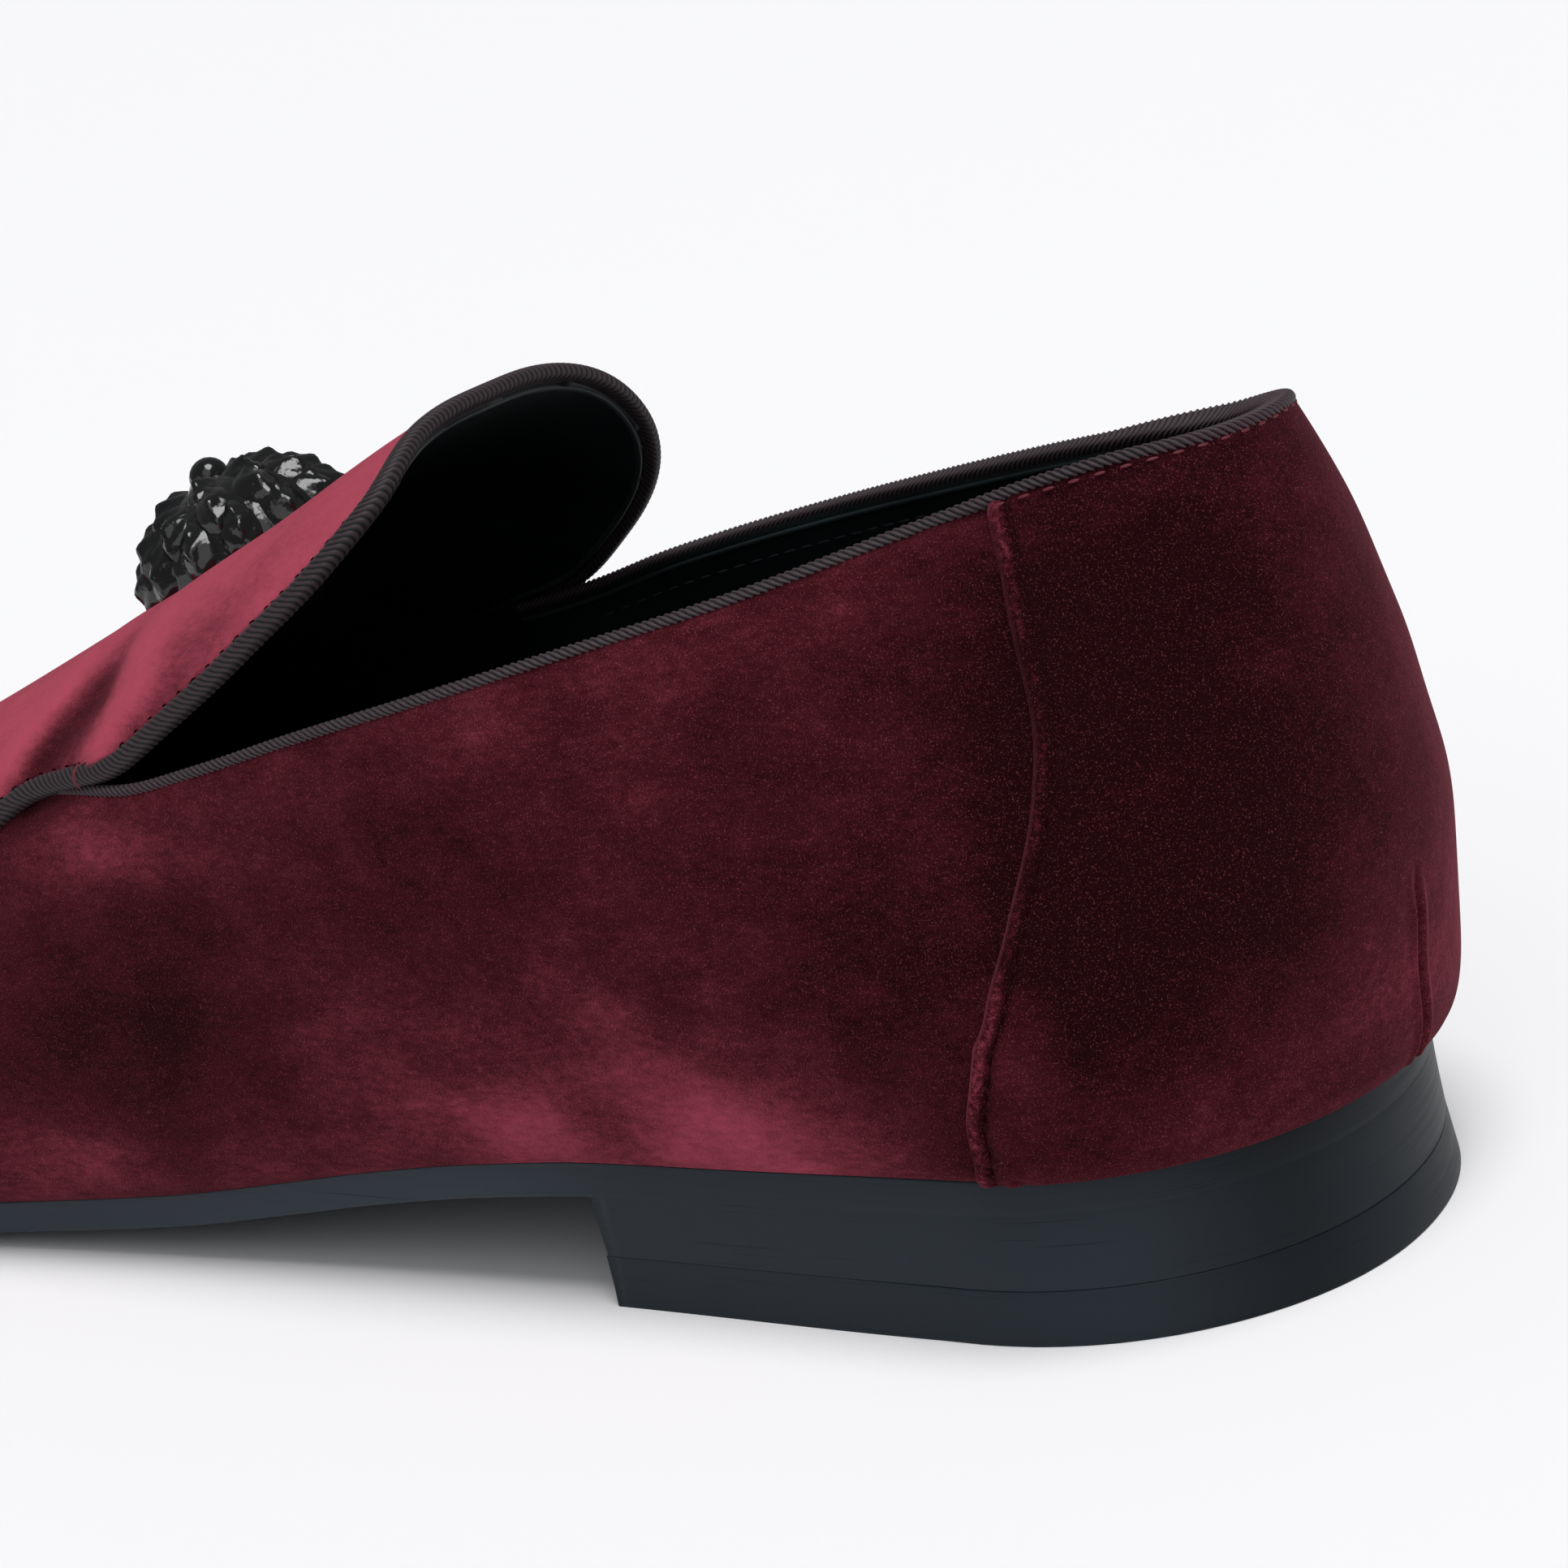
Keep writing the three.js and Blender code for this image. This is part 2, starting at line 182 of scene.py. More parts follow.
@dataclass(frozen=True)
class Last:
    """The form that the shoe is built on, in millimetres from the floor and from the back of the heel seat.

    A way round the shoe runs from -1 at the toe, along the outer side, to 0 behind the heel, and on along
    the inner side to 1 at the toe. A share of the way up runs from 0 at the sole to 1 on the ridge.
    """

    length: float = 299
    heel_centre: float = 34
    ball_line: float = 205
    seat_back: float = 2
    heel_swell: float = 2.6
    toe_swell: float = 1.5
    heel_roundness: float = 2.1
    outer_toe_roundness: float = 2.05
    inner_toe_roundness: float = 2.45
    back_fullness: float = 2.3
    heel_share: float = 0.22
    side_share: float = 0.66
    low_share: float = 0.2
    middle_x: float = 2.7543
    middle_y: float = 149.75
    outer_throat: float = 137.0
    inner_throat: float = 122.5
    tongue_top: float = 94.0
    vamp_foot: float = 5.6
    seam_search: Span = (0.03, 0.3)
    sections: tuple[Section, ...] = (
        Section(34, 0, 33, 30.8, 3, 3, 14, 1.3),
        Section(60, 0.5, 34, 30.5, 3, 3.4, 14, 1.8),
        Section(90, 1.5, 35, 28, 3.2, 6, 14, 2.65),
        Section(120, 2.5, 35.8, 27, 3.8, 8, 13, 2.8),
        Section(150, 3.5, 37.6, 32, 4.2, 7, 12, 2.5),
        Section(180, 5, 42, 44, 3.6, 4.5, 11, 2.4),
        Section(205, 7, 45.5, 51, 3, 3, 10, 2.5),
    )
    ridge: Line = Line((
        (0, 98.5), (34, 96), (60, 92), (90, 85.8), (120, 73), (150, 60.8), (180, 49.4), (205, 41),
        (235, 34.4), (265, 30), (300, 27),
    ))
    seat: Line = Line((
        (0, 16.9), (30, 16.6), (54, 16.1), (72, 15.8), (88, 14.6), (101, 12.9), (114, 10.7), (128, 8.5),
        (143, 7), (158, 5.9), (174, 4.7), (188, 4.1), (200, 3.9), (240, 3.9), (270, 6), (300, 11),
    ))
    outer_topline: Line = Line((
        (-30, 79), (7.4, 78.8), (9.4, 78.7), (14, 78.4), (18.7, 77.6), (30, 75.1), (51, 69.7), (74, 64.9),
        (99.7, 59.2), (113, 55.9), (125, 53.6), (160, 52.9),
    ))
    inner_topline: Line = Line((
        (-30, 79), (7.4, 78.8), (9.4, 78.2), (14, 76.6), (18.7, 75.2), (30, 73.5), (51, 69.5), (74, 64.6),
        (99.7, 58.7), (113, 54.9), (125, 52.8), (160, 52.2),
    ))
    vamp_edge: tuple[EdgeRow, ...] = (
        EdgeRow(-4, 163, 160.4), EdgeRow(9.6, 161.8, 157.8), EdgeRow(20, 159.4, 153.8),
        EdgeRow(30, 156.2, 149), EdgeRow(38, 153, 143.6), EdgeRow(44.4, 148.2, 137.4),
        EdgeRow(48.8, 143.4, 131), EdgeRow(51.2, 139, 125), EdgeRow(52.8, 132, 119.4),
        EdgeRow(54.2, 124.8, 114.4), EdgeRow(56.6, 120.6, 110), EdgeRow(59.6, 115.8, 106),
        EdgeRow(63.2, 110, 101.4), EdgeRow(67.3, 104.2, 97.4), EdgeRow(71.4, 98.5, 94.8),
        EdgeRow(75.8, 93.9, 93.4), EdgeRow(80, 91, 93.1), EdgeRow(82.4, 91.6, 93.4),
        EdgeRow(84, 93, 93.8), EdgeRow(87, 94, 94), EdgeRow(100, 94, 94),
    )
    counter_seam: Line = Line((
        (6, 30), (15, 29.2), (22.6, 28), (30.8, 25.6), (38.6, 23.1), (46.2, 21.1), (54, 20.5), (62, 22.2),
        (69.2, 24.6), (75, 26.6), (92, 29),
    ))

    def column(self, name: str) -> Line:
        """One column of the sections as a line along the foot."""
        return Line(tuple((row.y, getattr(row, name)) for row in self.sections))

    @cached_property
    def columns(self) -> dict[str, Line]:
        """Every column of the sections, by its name."""
        return {name: self.column(name) for name in Section._fields[1:]}

    @cached_property
    def edges(self) -> dict[Side, Line]:
        """How far forward the edge of the vamp lies at each height, by side."""
        return {
            Side.OUTER: Line(tuple((row.z, row.outer) for row in self.vamp_edge)),
            Side.INNER: Line(tuple((row.z, row.inner) for row in self.vamp_edge)),
        }

    def station(self, way: np.ndarray) -> Place:
        """Works out where a trip round the shoe stands.

        Args:
            way: Ways round the shoe.

        Returns:
            The sizes of the last there.
        """
        share = np.abs(way)
        outer = way <= 0
        behind = np.maximum(0, 1 - share / self.heel_share) * math.pi / 2
        before = np.maximum(0, (share - self.side_share) / (1 - self.side_share)) * math.pi / 2
        along = np.clip((share - self.heel_share) / (self.side_share - self.heel_share), 0, 1)
        y = self.heel_centre + along * (self.ball_line - self.heel_centre)
        row = {name: line(y) for name, line in self.columns.items()}
        side = np.where(outer, row["outer"] + row["axis"], row["inner"] - row["axis"])
        swell = np.where(outer, row["outer_swell"], row["inner_swell"])
        toe_roundness = np.where(outer, self.outer_toe_roundness, self.inner_toe_roundness)
        roundness = np.where(behind > 0, self.heel_roundness, toe_roundness)
        turn = behind + before

        def reach(grow: float) -> np.ndarray:
            """Reach of the rounded outline.

            Args:
                grow: Share of the swell above the sole, 0 at its edge and 1 at the fullest place.

            Returns:
                Distances from the middle of the foot.
            """
            heel_end = self.heel_centre - self.seat_back + grow * self.heel_swell
            toe_end = self.length - self.ball_line + grow * self.toe_swell
            end = np.where(behind > 0, heel_end, toe_end)
            across = np.abs(np.cos(turn)) / (side + grow * swell)
            return (across**roundness + (np.abs(np.sin(turn)) / end) ** roundness) ** (-1 / roundness)

        back = np.sin(behind) ** 4
        fullness = row["fullness"] * (1 - back) + self.back_fullness * back
        sideways = np.where(outer, -1, 1) * np.cos(turn)
        forward = np.sin(before) - np.sin(behind)
        return Place(row["axis"], y, row["rise"], fullness, reach(0), reach(1), sideways, forward)

    def spot(self, way: np.ndarray, up: np.ndarray, offset: np.ndarray | float = 0) -> np.ndarray:
        """A point on the last in its own millimetres.

        Args:
            way: Ways round the shoe.
            up: Shares of the way up.
            offset: How far out from the last the points lie.

        Returns:
            One row of x, y and z for each point.
        """
        way, up, offset = np.broadcast_arrays(np.asarray(way, float), up, offset)
        place = self.station(way)
        low_turn = np.clip(up / self.low_share, 0, 1) * math.pi / 2
        high_turn = np.clip((up - self.low_share) / (1 - self.low_share), 0, 1) * math.pi / 2
        power = 2 / place.fullness
        low_reach = place.edge + (place.bulge - place.edge) * np.sin(low_turn) + offset
        high_reach = (place.bulge + offset) * np.maximum(np.cos(high_turn), 0) ** power
        low = up < self.low_share
        reach = np.where(low, low_reach, high_reach)
        x = place.axis + place.sideways * reach
        y = place.y + place.forward * reach
        base = self.seat(y) + place.rise
        high_z = base + (self.ridge(y) + offset - base) * np.sin(high_turn) ** power
        z = np.where(low, self.seat(y) + place.rise * (1 - np.cos(low_turn)), high_z)
        return np.stack((x, y, z), -1)

    def row_frame(self, spots: np.ndarray) -> np.ndarray:
        """Turns the last's own millimetres into metres in the shoe's frame."""
        return (spots - np.array((self.middle_x, self.middle_y, 0))) * MM

    def normal(self, way: np.ndarray, up: np.ndarray) -> np.ndarray:
        """The direction that faces out of the last at each place.

        Args:
            way: Ways round the shoe.
            up: Shares of the way up.

        Returns:
            One row of x, y and z for each place, of length 1.
        """
        step = 0.002
        up = np.clip(up, 2 * step, 1 - 4 * step)
        along = self.spot(way + step, up) - self.spot(way - step, up)
        rise = self.spot(way, up + step) - self.spot(way, up - step)
        out = np.cross(along, rise)
        return out / np.linalg.norm(out, axis=-1, keepdims=True)

    def topline_share(self, way: np.ndarray) -> np.ndarray:
        """Shares of the way up at which the topline crosses the last.

        Args:
            way: Ways round the shoe.

        Returns:
            One share for each way.
        """
        way = np.asarray(way, float)

        def above(up: np.ndarray) -> np.ndarray:
            """How far points stand above the topline.

            Args:
                up: Their shares of the way up.

            Returns:
                Heights, below zero under the topline.
            """
            spots = self.spot(way, up)
            y = spots[..., 1]
            return spots[..., 2] - np.where(way <= 0, self.outer_topline(y), self.inner_topline(y))

        return crossing(above, np.full(way.shape, self.low_share), np.ones(way.shape))

    def way_at(self, side: Side, y: np.ndarray) -> np.ndarray:
        """The way round the shoe for places along its straight sides."""
        along = (np.asarray(y, float) - self.heel_centre) / (self.ball_line - self.heel_centre)
        return side.value * (self.heel_share + along * (self.side_share - self.heel_share))

    def share_at(self, way: np.ndarray, z: np.ndarray) -> np.ndarray:
        """Shares of the way up at which points reach the given heights."""
        z = np.asarray(z, float)
        return crossing(lambda up: self.spot(way, up)[..., 2] - z, np.zeros(z.shape), np.ones(z.shape))

    def way_at_seam(self, side: Side, rise: np.ndarray) -> np.ndarray:
        """Ways at which the seam of the counter crosses lines that run below the topline.

        Args:
            side: The side of the shoe.
            rise: Shares of the way from the sole to the topline at which the lines lie.

        Returns:
            One way for each line.
        """
        rise = np.asarray(rise, float)

        def before_seam(way: np.ndarray) -> np.ndarray:
            """How far a point stands in front of the seam."""
            spots = self.spot(side.value * way, rise * self.topline_share(side.value * way))
            return spots[..., 1] - self.counter_seam(spots[..., 2])

        low, high = (np.full(rise.shape, way) for way in self.seam_search)
        return side.value * crossing(before_seam, low, high)

    def past_vamp_edge(self, way: np.ndarray, spots: np.ndarray) -> np.ndarray:
        """How far points stand in front of the edge of the vamp, square to it.

        Args:
            way: The points' ways round the shoe.
            spots: The points in the last's millimetres.

        Returns:
            One distance for each point, below zero behind the edge.
        """
        y, z = spots[..., 1], spots[..., 2]
        step = 0.2
        ahead = np.zeros(z.shape)
        for side, line in self.edges.items():
            lean = (line(z + step) - line(z - step)) / (2 * step)
            ahead = np.where(np.sign(way) == side.value, (y - line(z)) / np.sqrt(1 + lean**2), ahead)
        return ahead


LAST = Last()


@dataclass
class Trail:
    """A line over the last with the directions along it, out of the surface and square to both.

    Attributes:
        spots: Points in the last's millimetres.
        out: Directions out of the surface.
    """

    spots: np.ndarray
    out: np.ndarray

    @cached_property
    def lengths(self) -> np.ndarray:
        """How far along the line each point lies."""
        steps = np.linalg.norm(np.diff(self.spots, axis=0), axis=1)
        return np.concatenate(([0], np.cumsum(steps)))

    def spaced(self, step: float) -> "Trail":
        """The same line with evenly spaced points.

        Args:
            step: About how far apart the points lie.

        Returns:
            The new line.
        """
        count = max(2, round(self.lengths[-1] / step) + 1)
        places = np.linspace(0, self.lengths[-1], count)
        return Trail(self.read(self.spots, places), self.read(self.out, places))

    def read(self, values: np.ndarray, places: np.ndarray) -> np.ndarray:
        """Values of the line's points between them, at lengths along it."""
        return np.stack([np.interp(places, self.lengths, column) for column in values.T], -1)

    def smoothed(self, passes: int) -> "Trail":
        """The same line with its corners and directions rounded.

        Args:
            passes: How often each point is drawn towards its neighbours.

        Returns:
            The new line.
        """
        spots, out = self.spots.copy(), self.out.copy()
        for _ in range(passes):
            spots[1:-1] = (spots[:-2] + 2 * spots[1:-1] + spots[2:]) / 4
            out[1:-1] = (out[:-2] + 2 * out[1:-1] + out[2:]) / 4
        return Trail(spots, out)

    @cached_property
    def along(self) -> np.ndarray:
        """Directions along the line."""
        way = np.gradient(self.spots, axis=0)
        return way / np.linalg.norm(way, axis=1, keepdims=True)

    @cached_property
    def left(self) -> np.ndarray:
        """Directions in the surface to the left of the line, seen from outside."""
        left = np.cross(self.out, self.along)
        return left / np.linalg.norm(left, axis=1, keepdims=True)

    @cached_property
    def square_out(self) -> np.ndarray:
        """Directions out of the surface, made square to the line."""
        return np.cross(self.along, self.left)

    def moved(self, left: np.ndarray | float, out: np.ndarray | float) -> np.ndarray:
        """Points beside the line.

        Args:
            left: How far to its left they lie.
            out: How far out of the surface they lie.

        Returns:
            One row of x, y and z for each point of the line.
        """
        left = np.broadcast_to(left, self.lengths.shape)
        out = np.broadcast_to(out, self.lengths.shape)
        return self.spots + left[:, None] * self.left + out[:, None] * self.square_out


TRAIL_STEP = 1.0
TOPLINE_POINTS = 900
TOPLINE_PASSES = 6
VAMP_EDGE_POINTS = 260
VAMP_EDGE_CROWDING = 2.4
VAMP_EDGE_PASSES = 8
JUST_BELOW = 1e-4


def topline_trail() -> Trail:
    """The topline, from the throat on the outer side round the heel to the throat on the inner side.

    Returns:
        The line, with its corners rounded.
    """
    start = LAST.way_at(Side.OUTER, LAST.outer_throat)
    end = LAST.way_at(Side.INNER, LAST.inner_throat)
    way = np.linspace(start, end, TOPLINE_POINTS)
    up = LAST.topline_share(way)
    return Trail(LAST.spot(way, up), LAST.normal(way, up)).spaced(TRAIL_STEP).smoothed(TOPLINE_PASSES)


def vamp_edge_trail() -> Trail:
    """The edge of the vamp, from the sole on the inner side over the tongue to the sole on the outer side.

    Returns:
        The line, with its corners rounded.
    """
    crest = float(LAST.ridge(LAST.tongue_top))
    toward_crest = np.linspace(0, 1, VAMP_EDGE_POINTS)
    z = crest - (crest - LAST.vamp_foot) * (1 - toward_crest) ** VAMP_EDGE_CROWDING
    halves = []
    for side in (Side.INNER, Side.OUTER):
        y = LAST.edges[side](z)
        way = LAST.way_at(side, y)
        up = LAST.share_at(way, np.minimum(z, LAST.ridge(y) - JUST_BELOW))
        halves.append(Trail(LAST.spot(way, up), LAST.normal(way, up)))
    inner, outer = halves
    spots = np.concatenate((inner.spots, outer.spots[::-1][1:]))
    out = np.concatenate((inner.out, outer.out[::-1][1:]))
    return Trail(spots, out).spaced(TRAIL_STEP).smoothed(VAMP_EDGE_PASSES)


# Shader and mesh helpers

Colour = tuple[float, float, float]
Stretch = tuple[float, float, float]

NOISE_MIDDLE = 0.5


class Value:
    """A number that a shader works out, which takes part in sums as a plain number does."""

    def __init__(self, paint: "Paint", socket: bpy.types.NodeSocket) -> None:
        """Keeps the socket and the material that it belongs to."""
        self.paint = paint
        self.socket = socket

    def math(self, operation: str, first: "Value | float", second: "Value | float" = 0.0) -> "Value":
        """Adds a Math node.

        Args:
            operation: What the node does.
            first: Its first number.
            second: Its second number.

        Returns:
            The node's result.
        """
        node = self.paint.node("ShaderNodeMath", {"operation": operation}, {0: first, 1: second})
        return Value(self.paint, node.outputs[0])

    def __add__(self, other: "Value | float") -> "Value":
        """The sum."""
        return self.math("ADD", self, other)

    __radd__ = __add__

    def __mul__(self, other: "Value | float") -> "Value":
        """The product."""
        return self.math("MULTIPLY", self, other)

    __rmul__ = __mul__

    def __sub__(self, other: "Value | float") -> "Value":
        """What is left of this."""
        return self.math("SUBTRACT", self, other)

    def __rsub__(self, other: "Value | float") -> "Value":
        """What is left of the other."""
        return self.math("SUBTRACT", other, self)

    def eased(self, start: float, end: float) -> "Value":
        """Rises smoothly from 0 at the start to 1 at the end."""
        node = self.paint.node(
            "ShaderNodeMapRange",
            {"interpolation_type": "SMOOTHSTEP"},
            {"Value": self, "From Min": start, "From Max": end},
        )
        return Value(self.paint, node.outputs[0])

    def swing(self, amount: float) -> "Value":
        """Turns grain from 0 to 1 into a swing of the given size about zero."""
        return (self - NOISE_MIDDLE) * amount


class Paint:
    """A material whose nodes are added one by one, ending in one Principled shader."""

    def __init__(self, name: str) -> None:
        """Makes an empty material with its output and shader.

        Args:
            name: The material's name.
        """
        self.material = bpy.data.materials.new(name)
        self.material.use_nodes = True
        self.tree = self.material.node_tree
        self.tree.nodes.clear()
        self.shader = self.node("ShaderNodeBsdfPrincipled")
        output = self.node("ShaderNodeOutputMaterial")
        self.tree.links.new(self.shader.outputs[0], output.inputs[0])

    def node(
        self,
        kind: str,
        settings: dict[str, object] | None = None,
        inputs: dict[str | int, object] | None = None,
    ) -> bpy.types.Node:
        """Adds a node.

        Args:
            kind: The node's type.
            settings: Its own settings, which are set first.
            inputs: Values or links for its sockets, by name or place.

        Returns:
            The node.
        """
        node = self.tree.nodes.new(kind)
        for name, value in (settings or {}).items():
            setattr(node, name, value)
        for name, value in (inputs or {}).items():
            self.feed(node.inputs[name], value)
        return node

    def feed(self, socket: bpy.types.NodeSocket, value: object) -> None:
        """Links a socket or sets its number or colour."""
        if isinstance(value, Value):
            self.tree.links.new(value.socket, socket)
        elif isinstance(value, bpy.types.NodeSocket):
            self.tree.links.new(value, socket)
        elif isinstance(value, tuple) and socket.type == "RGBA":
            socket.default_value = (*value, 1.0)
        else:
            socket.default_value = value

    def shade(self, inputs: dict[str, object]) -> None:
        """Sets or links sockets of the shader."""
        for name, value in inputs.items():
            self.feed(self.shader.inputs[name], value)

    @cached_property
    def place(self) -> bpy.types.NodeSocket:
        """The place on the piece, in metres."""
        return self.node("ShaderNodeTexCoord").outputs["Object"]

    def scaled(self, scale: Stretch) -> bpy.types.NodeSocket:
        """The place on the piece, stretched along the axes."""
        return self.node("ShaderNodeMapping", None, {"Vector": self.place, "Scale": scale}).outputs[0]

    def noise(self, size: float, detail: float = 2.0, stretch: Stretch | None = None) -> Value:
        """Soft random grain.

        Args:
            size: Size of its spots in metres.
            detail: How many finer layers it has.
            stretch: How much it is squeezed along each axis.

        Returns:
            Grain from 0 to 1.
        """
        place = self.scaled(stretch) if stretch else self.place
        node = self.node("ShaderNodeTexNoise", None, {"Vector": place, "Scale": 1 / size, "Detail": detail})
        return Value(self, node.outputs[0])

    def painted(self, name: str) -> Value:
        """A number painted on the piece's points."""
        node = self.node("ShaderNodeAttribute", {"attribute_name": name})
        return Value(self, node.outputs["Fac"])

    def mixed(self, share: Value | float, first: object, second: object) -> bpy.types.NodeSocket:
        """A colour between two others."""
        node = self.node("ShaderNodeMix", {"data_type": "RGBA"}, {0: share, 6: first, 7: second})
        return node.outputs[2]

    def relief(self, height: Value, depth: float, strength: float = 1.0) -> bpy.types.NodeSocket:
        """A bumpy normal from a height between 0 and 1 and a depth in metres."""
        node = self.node("ShaderNodeBump", None, {"Height": height, "Distance": depth, "Strength": strength})
        return node.outputs[0]


@dataclass(frozen=True)
class Finish:
    """How a piece looks. Each kind of finish dresses a paint in its own way."""

    name: str

    @cached_property
    def material(self) -> bpy.types.Material:
        """The material, made once, so that pieces share it.

        Returns:
            The dressed material.
        """
        paint = Paint(self.name)
        self.dress(paint)
        return paint.material

    def dress(self, paint: Paint) -> None:
        """Adds the finish's nodes to an empty paint."""
        raise NotImplementedError


@dataclass(frozen=True)
class Velvet(Finish):
    """Cut velvet whose painted nap tone is partly brushed nap and partly painted light and shade: dark where it
    faces away or lies in painted shade, pale where it is brushed towards the light or painted lit.
    """

    name: str = "velvet"
    deep: Colour = (0.0120, 0.0011, 0.0021)
    wine: Colour = (0.0465, 0.0054, 0.0089)
    rose: Colour = (0.40, 0.064, 0.102)
    spark: Colour = (0.30, 0.075, 0.10)
    sheen: float = 0.16
    sheen_tint: Colour = (0.90, 0.20, 0.30)
    sheen_roughness: float = 0.4
    roughness: float = 0.9
    gloss: float = 0.04
    fleck: float = 0.00016
    pile: float = 0.00055
    cloud: float = 0.016
    wisps_per_cloud: float = 4
    tufts_per_cloud: float = 18
    wisp_stretch: Stretch = (1.0, 0.5, 1.0)
    tuft_stretch: Stretch = (1.0, 0.6, 1.4)
    cloud_share: float = 0.6
    wisp_share: float = 0.55
    tuft_share: float = 0.45
    pile_share: float = 1.5
    fleck_share: float = 0.5
    dark_span: Span = (-0.45, 0.1)
    pale_span: Span = (-0.05, 1.25)
    spark_span: Span = (0.56, 0.8)
    spark_share: float = 0.32
    wisp_relief: float = 3.0
    depth: float = 0.00008

    def dress(self, paint: Paint) -> None:
        """Adds clouds, wisps, tufts and flecks to the painted nap tone with its painted light and shade, and
        colours the velvet by it.

        Args:
            paint: The empty paint.
        """
        clouds = paint.noise(self.cloud, detail=5.0)
        wisps = paint.noise(self.cloud / self.wisps_per_cloud, detail=4.0, stretch=self.wisp_stretch)
        flecks = paint.noise(self.fleck, detail=1.0)
        tufts = paint.noise(self.cloud / self.tufts_per_cloud, stretch=self.tuft_stretch)
        brushed_and_lit = paint.painted("nap_light_shade") + clouds.swing(self.cloud_share) + wisps.swing(self.wisp_share)
        brushed_and_lit = brushed_and_lit + tufts.swing(self.tuft_share)
        pile = paint.noise(self.pile)
        fuzz = paint.painted("fuzz") * (pile - NOISE_MIDDLE) * self.pile_share
        nap_light_shade = brushed_and_lit + fuzz + flecks.swing(self.fleck_share)
        # The nap tone carries painted light and shade: low values paint the velvet dark, high values paint it
        # pale rose.
        dark = paint.mixed(nap_light_shade.eased(*self.dark_span), self.deep, self.wine)
        lit = paint.mixed(nap_light_shade.eased(*self.pale_span), dark, self.rose)
        paint.shade({
            "Base Color": paint.mixed(flecks.eased(*self.spark_span) * self.spark_share, lit, self.spark),
            "Roughness": self.roughness,
            "Specular IOR Level": self.gloss,
            "Sheen Weight": self.sheen,
            "Sheen Tint": self.sheen_tint,
            "Sheen Roughness": self.sheen_roughness,
            "Normal": paint.relief(flecks + wisps * self.wisp_relief, self.depth, strength=0.8),
        })


@dataclass(frozen=True)
class Grosgrain(Finish):
    """Ribbed ribbon that binds the edges."""

    # ridge is the painted highlight colour of the ribs, valley the painted shade between them.
    ridge: Colour
    valley_shade: Colour = (0.0036, 0.0026, 0.0032)
    roughness: float = 0.62
    gloss: float = 0.35
    sheen: float = 0.06
    sheen_roughness: float = 0.4
    thread: float = 0.00016
    thread_share: float = 0.35
    ridge_light_span: Span = (0.25, 0.95)
    depth: float = 0.00004

    def dress(self, paint: Paint) -> None:
        """Colours the ribbon by its painted ribs, with painted highlights on the ribs and painted shade between
        them, and fine threads over them.

        Args:
            paint: The empty paint.
        """
        threads = paint.noise(self.thread, detail=1.0)
        lift = paint.painted("rib") + threads.swing(self.thread_share)
        paint.shade({
            "Base Color": paint.mixed(lift.eased(*self.ridge_light_span), self.valley_shade, self.ridge),
            "Roughness": self.roughness,
            "Specular IOR Level": self.gloss,
            "Sheen Weight": self.sheen,
            "Sheen Roughness": self.sheen_roughness,
            "Normal": paint.relief(threads, self.depth, strength=0.6),
        })


@dataclass(frozen=True)
class Leather(Finish):
    """Smooth black leather with a fine grain."""

    colour: Colour
    worn: Colour
    roughness: float
    gloss: float = 0.25
    grain: float = 0.0007
    cloud: float = 0.02
    cloud_share: float = 0.2
    worn_span: Span = (0.35, 0.75)
    depth: float = 0.00004

    def dress(self, paint: Paint) -> None:
        """Gives the leather its grain and worn places.

        Args:
            paint: The empty paint.
        """
        grain = paint.noise(self.grain, detail=3.0)
        clouds = paint.noise(self.cloud, detail=3.0)
        paint.shade({
            "Base Color": paint.mixed(clouds.eased(*self.worn_span), self.colour, self.worn),
            "Roughness": self.roughness + clouds.swing(self.cloud_share),
            "Specular IOR Level": self.gloss,
            "Normal": paint.relief(grain, self.depth, strength=0.5),
        })


@dataclass(frozen=True)
class HeelStack(Finish):
    """Stained edges of leather layers, with fine level lines and a soft polish."""

    colour: Colour = (0.0245, 0.0310, 0.0385)
    line: Colour = (0.004, 0.005, 0.006)
    roughness: float = 0.42
    gloss: float = 0.08
    streak: float = 0.004
    streak_stretch: Stretch = (0.25, 0.25, 6.0)
    streak_share: float = 0.5
    streak_roughness: float = 0.18
    crack: float = 0.002
    crack_stretch: Stretch = (0.12, 0.12, 9.0)
    crack_span: Span = (0.66, 0.74)
    crack_strength: float = 0.6
    crack_tone: float = 0.7
    crack_depth: float = 0.8
    cloud: float = 0.03
    cloud_share: float = 0.4
    tone_span: Span = (0.1, 0.9)
    depth: float = 0.00009

    def dress(self, paint: Paint) -> None:
        """Lays level streaks and cracks over the painted shade and darkening of the edge.

        Args:
            paint: The empty paint.
        """
        streaks = paint.noise(self.streak, detail=3.0, stretch=self.streak_stretch)
        cracks = paint.noise(self.crack, stretch=self.crack_stretch)
        clouds = paint.noise(self.cloud)
        crack = cracks.eased(*self.crack_span) * self.crack_strength
        tone = streaks.swing(self.streak_share) + clouds.swing(self.cloud_share) + crack * self.crack_tone
        edge = paint.mixed(tone.eased(*self.tone_span), self.colour, self.line)
        paint.shade({
            # The edge darkening holds painted shade behind the heel and where it turns.
            "Base Color": paint.mixed(paint.painted("edge_darkening"), edge, self.line),
            "Roughness": self.roughness + streaks.swing(self.streak_roughness),
            "Specular IOR Level": self.gloss,
            "Normal": paint.relief(streaks - crack * self.crack_depth, self.depth, strength=0.5),
        })


